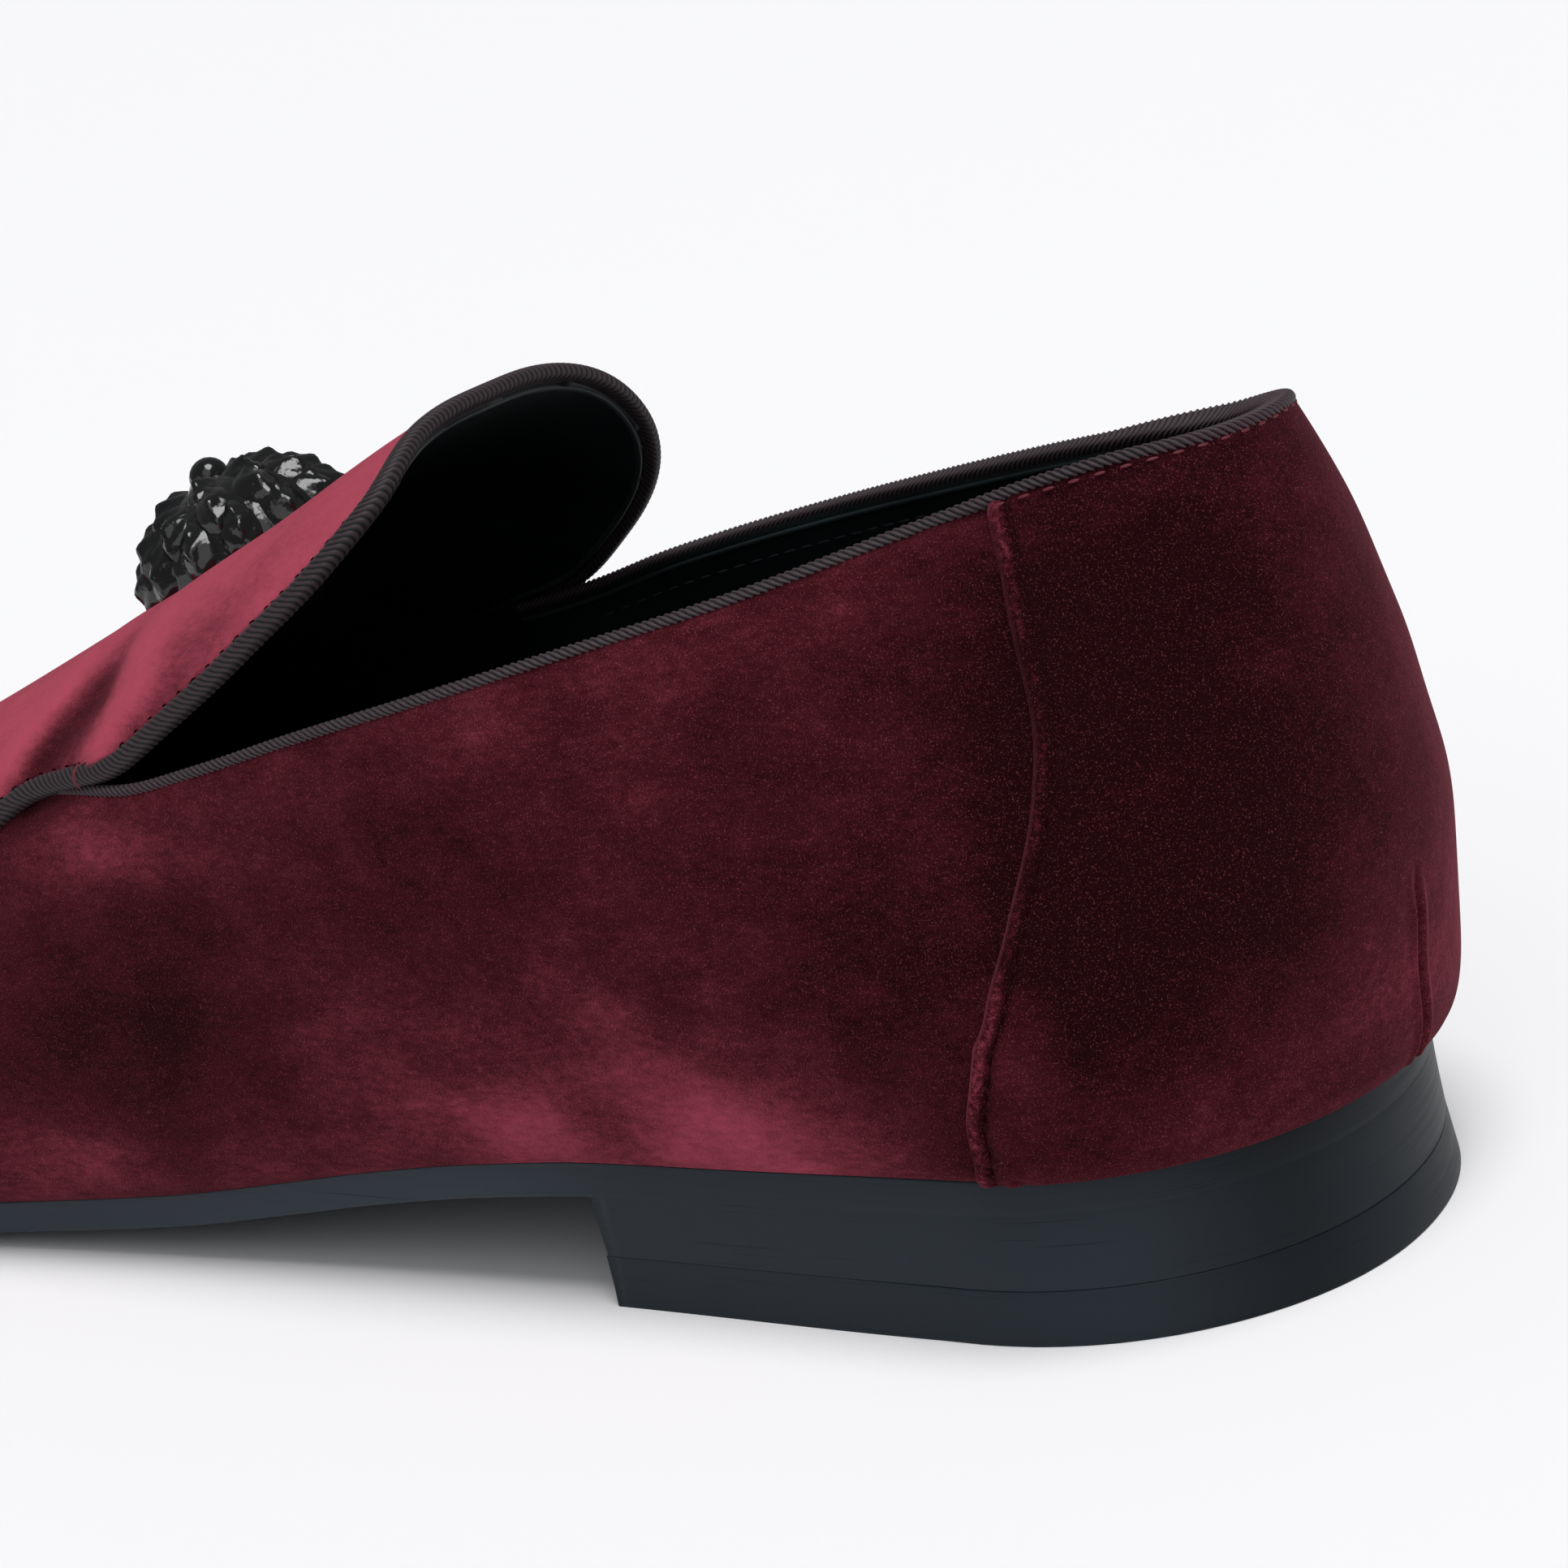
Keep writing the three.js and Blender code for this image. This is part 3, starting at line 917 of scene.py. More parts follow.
@dataclass(frozen=True)
class Jet(Finish):
    """Glossy black cast metal."""

    name: str = "jet"
    colour: Colour = (0.005, 0.0055, 0.006)
    roughness: float = 0.16
    gloss: float = 0.4
    coat: float = 0.2
    coat_roughness: float = 0.08
    grain: float = 0.0016
    depth: float = 0.0004

    def dress(self, paint: Paint) -> None:
        """Gives the metal its coat and the unevenness of a casting.

        Args:
            paint: The empty paint.
        """
        paint.shade({
            "Base Color": self.colour,
            "Roughness": self.roughness,
            "Specular IOR Level": self.gloss,
            "Coat Weight": self.coat,
            "Coat Roughness": self.coat_roughness,
            "Normal": paint.relief(paint.noise(self.grain), self.depth, strength=0.5),
        })


@dataclass(frozen=True)
class Thread(Finish):
    """Sewing thread of one colour."""

    colour: Colour
    roughness: float = 0.6
    gloss: float = 0.3

    def dress(self, paint: Paint) -> None:
        """Sets the thread's colour and gloss."""
        look = {"Base Color": self.colour, "Roughness": self.roughness, "Specular IOR Level": self.gloss}
        paint.shade(look)


VELVET = Velvet()
# Each ribbon's colour is the painted highlight on its ribs.
TOPLINE_RIBBON = Grosgrain("topline_grosgrain", (0.052, 0.034, 0.041))
VAMP_RIBBON = Grosgrain("vamp_grosgrain", (0.038, 0.025, 0.029))
LINING = Leather("lining", (0.0030, 0.0046, 0.0052), (0.0080, 0.0125, 0.0140), 0.5)
LINING_EDGE = Leather("lining_edge", (0.012, 0.017, 0.019), (0.026, 0.035, 0.039), 0.45)
SOLE = HeelStack("sole_edge", (0.0350, 0.0440, 0.0545))
HEEL = HeelStack("heel_stack")
LIFT = HeelStack("heel_lift", (0.0215, 0.0275, 0.0345))
JET = Jet()
RED_THREAD = Thread("red_thread", (0.115, 0.014, 0.023))
WINE_THREAD = Thread("wine_thread", (0.014, 0.0016, 0.0028), 0.9, 0.0)
BLACK_THREAD = Thread("black_thread", (0.022, 0.029, 0.032))


def make_piece(
    name: str, mesh: bmesh.types.BMesh, finishes: Iterable[Finish], nodes: Iterable[str] = ()
) -> bpy.types.Object:
    """Turns a finished mesh into a piece of the shoe.

    Args:
        name: The piece's name.
        mesh: Its mesh, which is used up.
        finishes: Its finishes, the first for every face that names no other.
        nodes: The solids that it stands for.

    Returns:
        The piece.
    """
    data = bpy.data.meshes.new(name)
    mesh.to_mesh(data)
    mesh.free()
    data.shade_smooth()
    for finish in finishes:
        data.materials.append(finish.material)
    piece = bpy.data.objects.new(name, data)
    bpy.context.scene.collection.objects.link(piece)
    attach(piece, BODY)
    if nodes:
        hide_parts(*nodes)
    log.info("%s: %d faces", name, len(data.polygons))
    return piece


def thicken(piece: bpy.types.Object, thickness: float) -> None:
    """Gives a sheet its wall on the inside, with the second finish on that side.

    Args:
        piece: The sheet.
        thickness: Thickness of the wall in millimetres.
    """
    wall = piece.modifiers.new("wall", "SOLIDIFY")
    wall.thickness = thickness * MM
    wall.offset = -1
    wall.material_offset = 1
    wall.material_offset_rim = 1


SAME_PLACE = 1e-6


class Sheet:
    """A grid of faces, to be laid over the last."""

    def __init__(self, columns: int, rows: int) -> None:
        """Makes the grid and notes each point's share across and up it.

        Args:
            columns: How many faces it has across.
            rows: How many faces it has up.
        """
        self.mesh = bmesh.new()
        bmesh.ops.create_grid(self.mesh, x_segments=columns, y_segments=rows, size=0.5)
        flat = np.array([vert.co[:2] for vert in self.mesh.verts]) + 0.5
        self.across, self.up = flat[:, 0], flat[:, 1]

    def lay(self, spots: np.ndarray) -> None:
        """Moves the points to places in the last's millimetres."""
        for vert, place in zip(self.mesh.verts, LAST.row_frame(spots)):
            vert.co = place

    def paint(self, name: str, values: np.ndarray) -> None:
        """Paints a number on each point."""
        layer = self.mesh.verts.layers.float.new(name)
        for vert, value in zip(self.mesh.verts, values):
            vert[layer] = float(value)

    def drop(self, unwanted: np.ndarray) -> None:
        """Deletes the points that are marked."""
        verts = [vert for vert, drop in zip(self.mesh.verts, unwanted) if drop]
        bmesh.ops.delete(self.mesh, geom=verts, context="VERTS")

    def join(self) -> None:
        """Joins points that lie on each other."""
        bmesh.ops.remove_doubles(self.mesh, verts=self.mesh.verts, dist=SAME_PLACE)

    def close(self) -> None:
        """Joins doubled points, fills open ends and turns the faces outwards."""
        self.join()
        rims = [edge for edge in self.mesh.edges if edge.is_boundary]
        if rims:
            bmesh.ops.holes_fill(self.mesh, edges=rims, sides=0)
        bmesh.ops.recalc_face_normals(self.mesh, faces=self.mesh.faces)


# The pieces of the upper


class NapLightShadePatch(NamedTuple):
    """A patch of brushed nap with painted light or shade on one side: its middle, half length, half height,
    slope and how pale it is, below zero for painted shade.
    """

    side: Side
    y: float
    z: float
    length: float
    height: float
    lean: float
    strength: float


class Crease(NamedTuple):
    """A soft trough between two points on one side of the shoe, with its half width and depth."""

    side: Side
    start: tuple[float, float]
    end: tuple[float, float]
    width: float
    depth: float


@dataclass(frozen=True)
class Cloth:
    """What all velvet panels share: patches of brushed nap with painted light and shade, and where the cloth is
    creased, with painted shade in the creases.

    Patches whose middle lies behind heel_round run on round the heel to the other side.
    """

    # Patches of painted light (above zero) and painted shade (below zero) on the nap.
    patches: tuple[NapLightShadePatch, ...] = (
        NapLightShadePatch(Side.OUTER, 52, 20, 14, 5.5, 0, 0.52),
        NapLightShadePatch(Side.OUTER, 80, 19.5, 10, 5, 0, 0.42),
        NapLightShadePatch(Side.OUTER, 59, 26, 9, 5.5, 0.9, 0.17),
        NapLightShadePatch(Side.OUTER, 72, 25, 27, 9, 0, 0.25),
        NapLightShadePatch(Side.OUTER, 58, 16, 40, 3, 0, 0.2),
        NapLightShadePatch(Side.OUTER, 115, 66.6, 9, 4, -0.55, -0.36),
        NapLightShadePatch(Side.OUTER, 101, 78.5, 8, 5, -0.55, 0.12),
        NapLightShadePatch(Side.OUTER, 125, 67.5, 8, 4, -0.55, 0.2),
        NapLightShadePatch(Side.OUTER, 60, 64.5, 42, 4.5, -0.235, 0.14),
        NapLightShadePatch(Side.OUTER, 2.5, 72, 3.5, 6, 0, 0.22),
        NapLightShadePatch(Side.OUTER, 34, 57, 9, 9, 0, -0.08),
        NapLightShadePatch(Side.OUTER, 47, 58, 8, 6, 0, -0.12),
        NapLightShadePatch(Side.OUTER, 38, 40, 9, 9, 0, -0.1),
        NapLightShadePatch(Side.OUTER, 62, 37, 6, 5, 0, -0.1),
        NapLightShadePatch(Side.OUTER, 137, 27, 8, 8, 0, -0.2),
        NapLightShadePatch(Side.OUTER, 19, 64, 7, 12, 0, -0.3),
        NapLightShadePatch(Side.OUTER, 22, 30, 4, 6, 0, 0.25),
        NapLightShadePatch(Side.OUTER, 4.5, 45, 5, 12, 0, -0.28),
        NapLightShadePatch(Side.OUTER, 12, 35, 9, 9, 0, -0.22),
        NapLightShadePatch(Side.OUTER, 69, 21, 4.5, 4, 0.5, -0.18),
        NapLightShadePatch(Side.OUTER, 37, 19, 8, 5, 0, 0.08),
        NapLightShadePatch(Side.OUTER, 115, 13, 12, 4, 0, 0.25),
        NapLightShadePatch(Side.OUTER, 137, 13, 9, 5, 0, 0.42),
        NapLightShadePatch(Side.OUTER, 121, 28, 10, 11, 0, -0.3),
        NapLightShadePatch(Side.OUTER, 86, 45, 12, 8, 0, -0.15),
        NapLightShadePatch(Side.OUTER, 127, 47.5, 10, 5, 0, 0.45),
        NapLightShadePatch(Side.OUTER, 38, 32, 8, 16, 0, -0.15),
        NapLightShadePatch(Side.OUTER, 15, 50, 15, 26, 0, -0.45),
        NapLightShadePatch(Side.OUTER, 6, 72, 10, 14, 0, -0.28),
        NapLightShadePatch(Side.OUTER, 0, 25, 7, 8, 0, 0.18),
        NapLightShadePatch(Side.INNER, 70, 21, 30, 8, 0, 0.45),
        NapLightShadePatch(Side.INNER, 116, 30, 14, 10, 0, -0.3),
        NapLightShadePatch(Side.OUTER, 0, 30, 4, 18, 0, 0.06),
        NapLightShadePatch(Side.OUTER, 1, 66, 4, 12, 0, 0.1),
    )
    creases: tuple[Crease, ...] = (
        Crease(Side.OUTER, (139.8, 53.6), (132.6, 60.8), 4.0, 1.3),
        Crease(Side.OUTER, (145.2, 54.5), (141.0, 60.2), 2.4, -0.5),
        Crease(Side.OUTER, (128.4, 55.8), (122.8, 62.4), 2.3, -0.5),
        Crease(Side.OUTER, (122.6, 58.4), (116.6, 63.0), 1.8, 0.35),
        Crease(Side.INNER, (126.0, 57.0), (120.0, 63.0), 2.0, 0.5),
    )
    shade_of_creases: float = 0.8
    heel_round: float = 20.0
    # Strength of the painted light on the top of the vamp.
    vamp_top_light: float = 0.98
    tuck: float = 0.35
    tuck_span: Span = (0, 0.03)

    def nap_light_shade(self, way: np.ndarray, spots: np.ndarray) -> np.ndarray:
        """How pale the nap is at each point: brushed nap with painted light and shade from the patches, with
        painted shade in the creases and painted light on the folds.

        Args:
            way: The points' ways round the shoe.
            spots: The points in the last's millimetres.

        Returns:
            0 for the cloth's own tone, above it for pale and below it for dark.
        """
        nap_light_shade = np.zeros(len(spots))
        for patch in self.patches:
            along = spots[:, 1] - patch.y
            rise = spots[:, 2] - patch.z - patch.lean * along
            hump = bump(along, patch.length) * bump(rise, patch.height)
            on_side = (np.sign(way) == patch.side.value) | (patch.y < self.heel_round)
            nap_light_shade += patch.strength * hump * on_side
        return nap_light_shade - self.shade_of_creases * self.sunk(way, spots)

    def tucked(self, up: np.ndarray, spots: np.ndarray) -> np.ndarray:
        """Draws the foot of the cloth down to the sole.

        Args:
            up: The points' shares of the way up.
            spots: The points in the last's millimetres.

        Returns:
            The moved points.
        """
        drawn = spots.copy()
        drawn[:, 2] -= self.tuck * (1 - ease(up, *self.tuck_span))
        return drawn

    def sunk(self, way: np.ndarray, spots: np.ndarray) -> np.ndarray:
        """How deep the creases are at each point.

        Args:
            way: The points' ways round the shoe.
            spots: The points in the last's millimetres.

        Returns:
            One depth in millimetres for each point, below zero on a fold.
        """
        depth = np.zeros(len(spots))
        for crease in self.creases:
            start, end = np.array(crease.start), np.array(crease.end)
            line = end - start
            share = np.clip(((spots[:, 1:] - start) @ line) / (line @ line), 0, 1)
            gap = np.linalg.norm(spots[:, 1:] - start - share[:, None] * line, axis=1)
            depth += crease.depth * bump(gap, crease.width) * (np.sign(way) == crease.side.value)
        return depth


CLOTH = Cloth()


@dataclass
class Quarters:
    """The velvet sides that run from under the vamp round the heel, with their lining inside."""

    wall: float = 1.8
    columns: int = 320
    rows: int = 46
    under_vamp: float = 5.0
    top_share: float = 0.985
    front_search: Span = (0.4, 0.65)

    def front(self, side: Side, rise: np.ndarray) -> np.ndarray:
        """Ways at which the quarters end under the vamp.

        Args:
            side: The side of the shoe.
            rise: Shares of the way from the sole to the topline.

        Returns:
            One way for each share.
        """

        def past(way: np.ndarray) -> np.ndarray:
            """How far a point stands in front of that end."""
            spots = LAST.spot(side.value * way, rise * LAST.topline_share(side.value * way))
            return spots[:, 1] - LAST.edges[side](spots[:, 2]) - self.under_vamp

        low, high = (np.full(rise.shape, way) for way in self.front_search)
        return side.value * crossing(past, low, high)

    def build(self) -> None:
        """Builds both quarters and their lining."""
        sheet = Sheet(self.columns, self.rows)
        levels = np.unique(sheet.up)
        rise = sheet.up * self.top_share
        outer = np.interp(sheet.up, levels, self.front(Side.OUTER, levels * self.top_share))
        inner = np.interp(sheet.up, levels, self.front(Side.INNER, levels * self.top_share))
        way = outer + (inner - outer) * sheet.across
        up = rise * LAST.topline_share(way)
        flat = LAST.spot(way, up)
        spots = CLOTH.tucked(up, LAST.spot(way, up, -CLOTH.sunk(way, flat)))
        sheet.lay(spots)
        # The nap tone painted here holds painted light and shade as well as brushed nap.
        sheet.paint("nap_light_shade", CLOTH.nap_light_shade(way, spots))
        piece = make_piece("quarters", sheet.mesh, (VELVET, LINING), ("upper",))
        thicken(piece, self.wall)


@dataclass
class Vamp:
    """The velvet front with its tongue, lined with black leather."""

    step: float = 0.7
    wall: float = 1.9
    columns: int = 420
    rows: int = 76
    back: float = 84.0
    into_binding: float = 1.2
    toe_dim: float = 0.45
    toe_run: Span = (150, 260)
    pale_rise: Span = (0.4, 0.64)

    def build(self) -> None:
        """Builds the vamp, cut back to the line that its binding hides."""
        sheet = Sheet(self.columns, self.rows)
        start = abs(float(LAST.way_at(Side.OUTER, np.array(self.back))))
        trip = 2 * sheet.across - 1
        share = 1 - np.abs(trip) * (1 - start)
        way = np.where(trip < 0, share, -share)
        flat = LAST.spot(way, sheet.up)
        spots = CLOTH.tucked(sheet.up, LAST.spot(way, sheet.up, self.step - CLOTH.sunk(way, flat)))
        sheet.lay(spots)
        # Painted light on the upper part of the vamp, as if lit from above, weaker towards the toe.
        lit = CLOTH.vamp_top_light * (1 - self.toe_dim * ease(flat[:, 1], *self.toe_run))
        sheet.paint("nap_light_shade", CLOTH.nap_light_shade(way, spots) + lit * ease(sheet.up, *self.pale_rise))
        sheet.drop(LAST.past_vamp_edge(way, flat) < self.into_binding)
        sheet.join()
        piece = make_piece("vamp", sheet.mesh, (VELVET, LINING))
        thicken(piece, self.wall)


class Wave(NamedTuple):
    """A small even wave: its height, its pace and where it starts."""

    height: float
    pace: float
    start: float

    def at(self, place: np.ndarray) -> np.ndarray:
        """The wave's height at each place."""
        return self.height * np.sin(place * self.pace + self.start)


class Swell(NamedTuple):
    """A level swelling of the counter behind the heel: its height up the shoe, half width and depth."""

    z: float
    width: float
    depth: float


@dataclass
class Counter:
    """The velvet panel laid round the back of the heel, with folded front edges and a dart at its foot."""

    proud: float = 1.1
    wall: float = 0.7
    columns: int = 330
    rows: int = 96
    top_share: float = 0.982
    fold: float = 0.9
    fold_width: float = 0.65
    fold_height: float = 0.24
    seam_at: float = 1.9
    seam_width: float = 0.4
    seam_depth: float = 0.32
    dart_low: float = 17.0
    dart_high: float = 36.0
    dart_depth: float = 0.7
    dart_at: float = -1.0
    dart_width: float = 0.4
    dart_lip: float = 0.3
    dart_lip_at: float = 1.0
    dart_lip_width: float = 0.6
    dart_ends: Span = (4.0, 5.0)
    dart_wave: Wave = Wave(0.25, 0.55, 0)
    behind: float = 10.0
    roll: Span = (-0.25, 0.55)
    calm: float = 0.8
    calm_rise: Span = (70, 75)
    crumple: float = 0.3
    crumple_rise: Span = (22, 36)
    crumple_at: float = 3.3
    crumple_width: float = 0.55
    trough_at: float = 4.3
    trough_width: float = 0.4
    ripples: tuple[Wave, ...] = (Wave(0.12, 1.9, 0), Wave(0.08, 4.3, 1))
    swells: tuple[Swell, ...] = (Swell(66, 6, 0.2), Swell(53, 6, 0.3), Swell(40, 7, 0.6), Swell(26, 7, -0.3))
    swell_run: Span = (18, 6)
    crowding: float = 0.75
    fuzz_width: float = 1.3
    # Painted highlight on the folded edge and painted shade along the seam beside it.
    fold_highlight: float = 0.28
    fold_highlight_width: float = 0.7
    seam_shade: float = 0.35
    seam_shade_width: float = 0.45
    seam_run: Span = (0.02, 0.98)
    seam_points: int = 120
    millimetres_per_way: float = 250

    def edge(self, side: Side, levels: np.ndarray) -> np.ndarray:
        """Ways of the folded edge, a little wavy as cloth is.

        Args:
            side: The side of the shoe.
            levels: Shares of the way up the panel.

        Returns:
            One way for each level.
        """
        wave = Wave(0.12, 21, side.value).at(levels) + Wave(0.1, 47, 2).at(levels)
        return LAST.way_at_seam(side, levels * self.top_share) + wave / self.millimetres_per_way

    def place(self, across: np.ndarray, up: np.ndarray) -> tuple[np.ndarray, np.ndarray]:
        """Places on the panel, closer together at its edges and its middle.

        Args:
            across: Shares of the way across the panel.
            up: Shares of the way up it.

        Returns:
            Ways round the shoe and shares of the way up.
        """
        levels = np.unique(up)
        outer = np.interp(up, levels, self.edge(Side.OUTER, levels))
        inner = np.interp(up, levels, self.edge(Side.INNER, levels))
        spread = across - self.crowding * np.sin(4 * math.pi * across) / (4 * math.pi)
        way = outer + (inner - outer) * spread
        return way, up * self.top_share * LAST.topline_share(way)

    def from_edge(self, sheet: Sheet, spots: np.ndarray) -> np.ndarray:
        """How far each point lies from the nearer front edge, measured along the panel.

        Args:
            sheet: The panel's grid.
            spots: Its points in the last's millimetres.

        Returns:
            One distance for each point.
        """
        order = np.lexsort((sheet.across, sheet.up))
        grid = spots[order].reshape(self.rows + 1, self.columns + 1, 3)
        steps = np.linalg.norm(np.diff(grid, axis=1), axis=2)
        run = np.concatenate((np.zeros((self.rows + 1, 1)), np.cumsum(steps, axis=1)), axis=1)
        nearer = np.minimum(run, run[:, -1:] - run)
        distance = np.empty(len(spots))
        distance[order] = nearer.ravel()
        return distance

    def offset(self, distance: np.ndarray, spots: np.ndarray) -> np.ndarray:
        """How far the panel stands out: a rolled edge, a sewn trough, crumples low down and the dart.

        Args:
            distance: The points' distances from the nearer front edge.
            spots: The points in the last's millimetres.

        Returns:
            One distance out of the last for each point.
        """
        z = spots[:, 2]
        low = 1 - ease(z, *self.crumple_rise)
        calm = 1 - self.calm * ease(z, *self.calm_rise)
        ripple = sum(wave.at(z) for wave in self.ripples)
        out = self.proud * ease(distance, *self.roll)
        out += calm * (self.fold_height + ripple) * bump(distance - self.fold, self.fold_width)
        out -= self.seam_depth * bump(distance - self.seam_at - ripple, self.seam_width)
        out += low * (self.crumple + ripple) * bump(distance - self.crumple_at, self.crumple_width)
        out -= low * self.crumple * bump(distance - self.trough_at + ripple, self.trough_width)
        round_back = sum(swell.depth * bump(z - swell.z, swell.width) for swell in self.swells)
        out += round_back * ease(spots[:, 1], *self.swell_run)
        middle = spots[:, 0] - self.dart_at + self.dart_wave.at(z)
        foot, head = self.dart_ends
        dart = ease(z, self.dart_high, self.dart_high - head) * ease(z, self.dart_low - foot, self.dart_low)
        behind = spots[:, 1] < self.behind
        out -= behind * dart * self.dart_depth * bump(middle, self.dart_width)
        out += behind * dart * self.dart_lip * bump(np.abs(middle) - self.dart_lip_at, self.dart_lip_width)
        return out

    def build(self) -> None:
        """Builds the panel, with a painted highlight on its folds and painted shade along its seams."""
        sheet = Sheet(self.columns, self.rows)
        way, up = self.place(sheet.across, sheet.up)
        flat = LAST.spot(way, up)
        distance = self.from_edge(sheet, flat)
        spots = CLOTH.tucked(up, LAST.spot(way, up, self.offset(distance, flat)))
        sheet.lay(spots)
        sheet.paint("fuzz", bump(distance - self.fold, self.fuzz_width))
        # Painted highlight on the folded edge and painted shade along the sewn trough.
        fold_lit = self.fold_highlight * bump(distance - self.fold, self.fold_highlight_width)
        seam_shaded = self.seam_shade * bump(distance - self.seam_at, self.seam_shade_width)
        sheet.paint("nap_light_shade", CLOTH.nap_light_shade(way, spots) + (fold_lit - seam_shaded))
        piece = make_piece("counter_panel", sheet.mesh, (VELVET, LINING), ("counter",))
        thicken(piece, self.wall)

    def seam_trail(self, side: Side) -> Trail:
        """The line of the stitches beside the folded edge.

        Args:
            side: The side of the shoe.

        Returns:
            The line, from the sole to the topline.
        """
        levels = np.linspace(*self.seam_run, self.seam_points)
        way = self.edge(side, levels) - side.value * self.seam_at / self.millimetres_per_way
        up = levels * self.top_share * LAST.topline_share(way)
        return Trail(LAST.spot(way, up, self.proud - self.seam_depth), LAST.normal(way, up))


@dataclass
class Binding:
    """A ribbed ribbon rolled over an edge."""

    name: str
    finish: Finish
    slot: str
    nodes: tuple[str, ...]
    trail: Trail
    half_left: float
    half_out: float
    centre_left: float
    centre_out: float
    pitch: float = 0.7
    slant: float = 0.9
    rib: float = 0.2
    around: int = 36
    per_rib: int = 5
    squareness: float = 2.5
    counter_step: float = 0.0
    counter_front: Span = (20.0, 34.0)
    inside_drop: float = 0.0
    back_sink: float = 0.0
    back_run: Span = (5.0, 18.0)
    sink_lean: float = 0.4
    wrap_turn: Span = (0.12, 0.88)
    wrap_points: int = 11
    wrap_clear: float = 1.08

    def build(self) -> None:
        """Sweeps a rounded section along the edge, with ribs that lean round it."""
        trail = self.trail.spaced(self.pitch / self.per_rib).smoothed(4)
        count = len(trail.lengths)
        sheet = Sheet(count - 1, self.around)
        index = np.rint(sheet.across * (count - 1)).astype(int)
        turn = sheet.up * 2 * math.pi
        phase = trail.lengths[index] / self.pitch + self.slant * np.cos(turn)
        rib = np.abs(np.sin(math.pi * phase))
        power = 2 / self.squareness
        swell = 1 + (rib - 0.5) * self.rib / self.half_left
        over = self.counter_step / 2 * (1 - ease(trail.spots[index, 1], *self.counter_front))
        across, rise = np.cos(turn), np.sin(turn)
        drop = 1 + self.inside_drop * np.clip(-rise, 0, 1) * (across < 0)
        left = self.centre_left + self.half_left * np.sign(across) * np.abs(across) ** power * swell * drop
        sink = self.back_sink * (1 - ease(trail.spots[index, 1], *self.back_run))
        left -= sink * (1 - self.sink_lean * across)
        out = self.centre_out + over + (self.half_out + over) * np.sign(rise) * np.abs(rise) ** power * swell
        to_left = left[:, None] * trail.left[index]
        sheet.lay(trail.spots[index] + to_left + out[:, None] * trail.square_out[index])
        # The rib height also sets the painted highlight and shade of the ribs.
        sheet.paint("rib", rib)
        sheet.close()
        make_piece(self.name, sheet.mesh, (self.finish,), self.nodes)

    def wrap(self, side: Side, y: float) -> Trail:
        """A line round the outside of the ribbon at one place.

        Args:
            side: The side of the shoe.
            y: How far along the foot the place lies.

        Returns:
            The line.
        """
        spots = self.trail.spots
        on_side = np.sign(spots[:, 0] - LAST.columns["axis"](y)) == side.value
        near = int(np.argmin(np.where(on_side, np.abs(spots[:, 1] - y), np.inf)))
        turn = np.linspace(*self.wrap_turn, self.wrap_points) * math.pi
        left, out = self.trail.left[near], self.trail.square_out[near]
        to_left, outwards = np.outer(np.cos(turn), left), np.outer(np.sin(turn), out)
        middle = spots[near] + self.centre_left * left + self.centre_out * out
        around = to_left * self.half_left + outwards * self.half_out
        return Trail(middle + around * self.wrap_clear, to_left + outwards)


@dataclass
class Stitches:
    """A row of stitches along a line on the shoe."""

    name: str
    finish: Thread
    slot: str
    trails: tuple[Trail, ...]
    length: float = 1.9
    pitch: float = 2.6
    width: float = 0.32
    height: float = 0.22

    def build(self) -> None:
        """Builds the stitches as small rounded bars."""
        mesh = bmesh.new()
        for line in self.trails:
            trail = line.spaced(self.pitch)
            places = LAST.row_frame(trail.spots)
            for place, along, left, out in zip(places, trail.along, trail.left, trail.square_out):
                turn = Matrix((along * self.length, left * self.width, out * self.height)).transposed()
                matrix = Matrix.Translation(place) @ (turn * (MM / 2)).to_4x4()
                bmesh.ops.create_uvsphere(mesh, u_segments=8, v_segments=6, radius=1, matrix=matrix)
        make_piece(self.name, mesh, (self.finish,))


# The pieces under the foot


class Level(NamedTuple):
    """One level of a layer: how far its edge stands from the sole's edge, and its height."""

    reach: Callable[[Place], np.ndarray]
    height: Callable[[np.ndarray], np.ndarray]


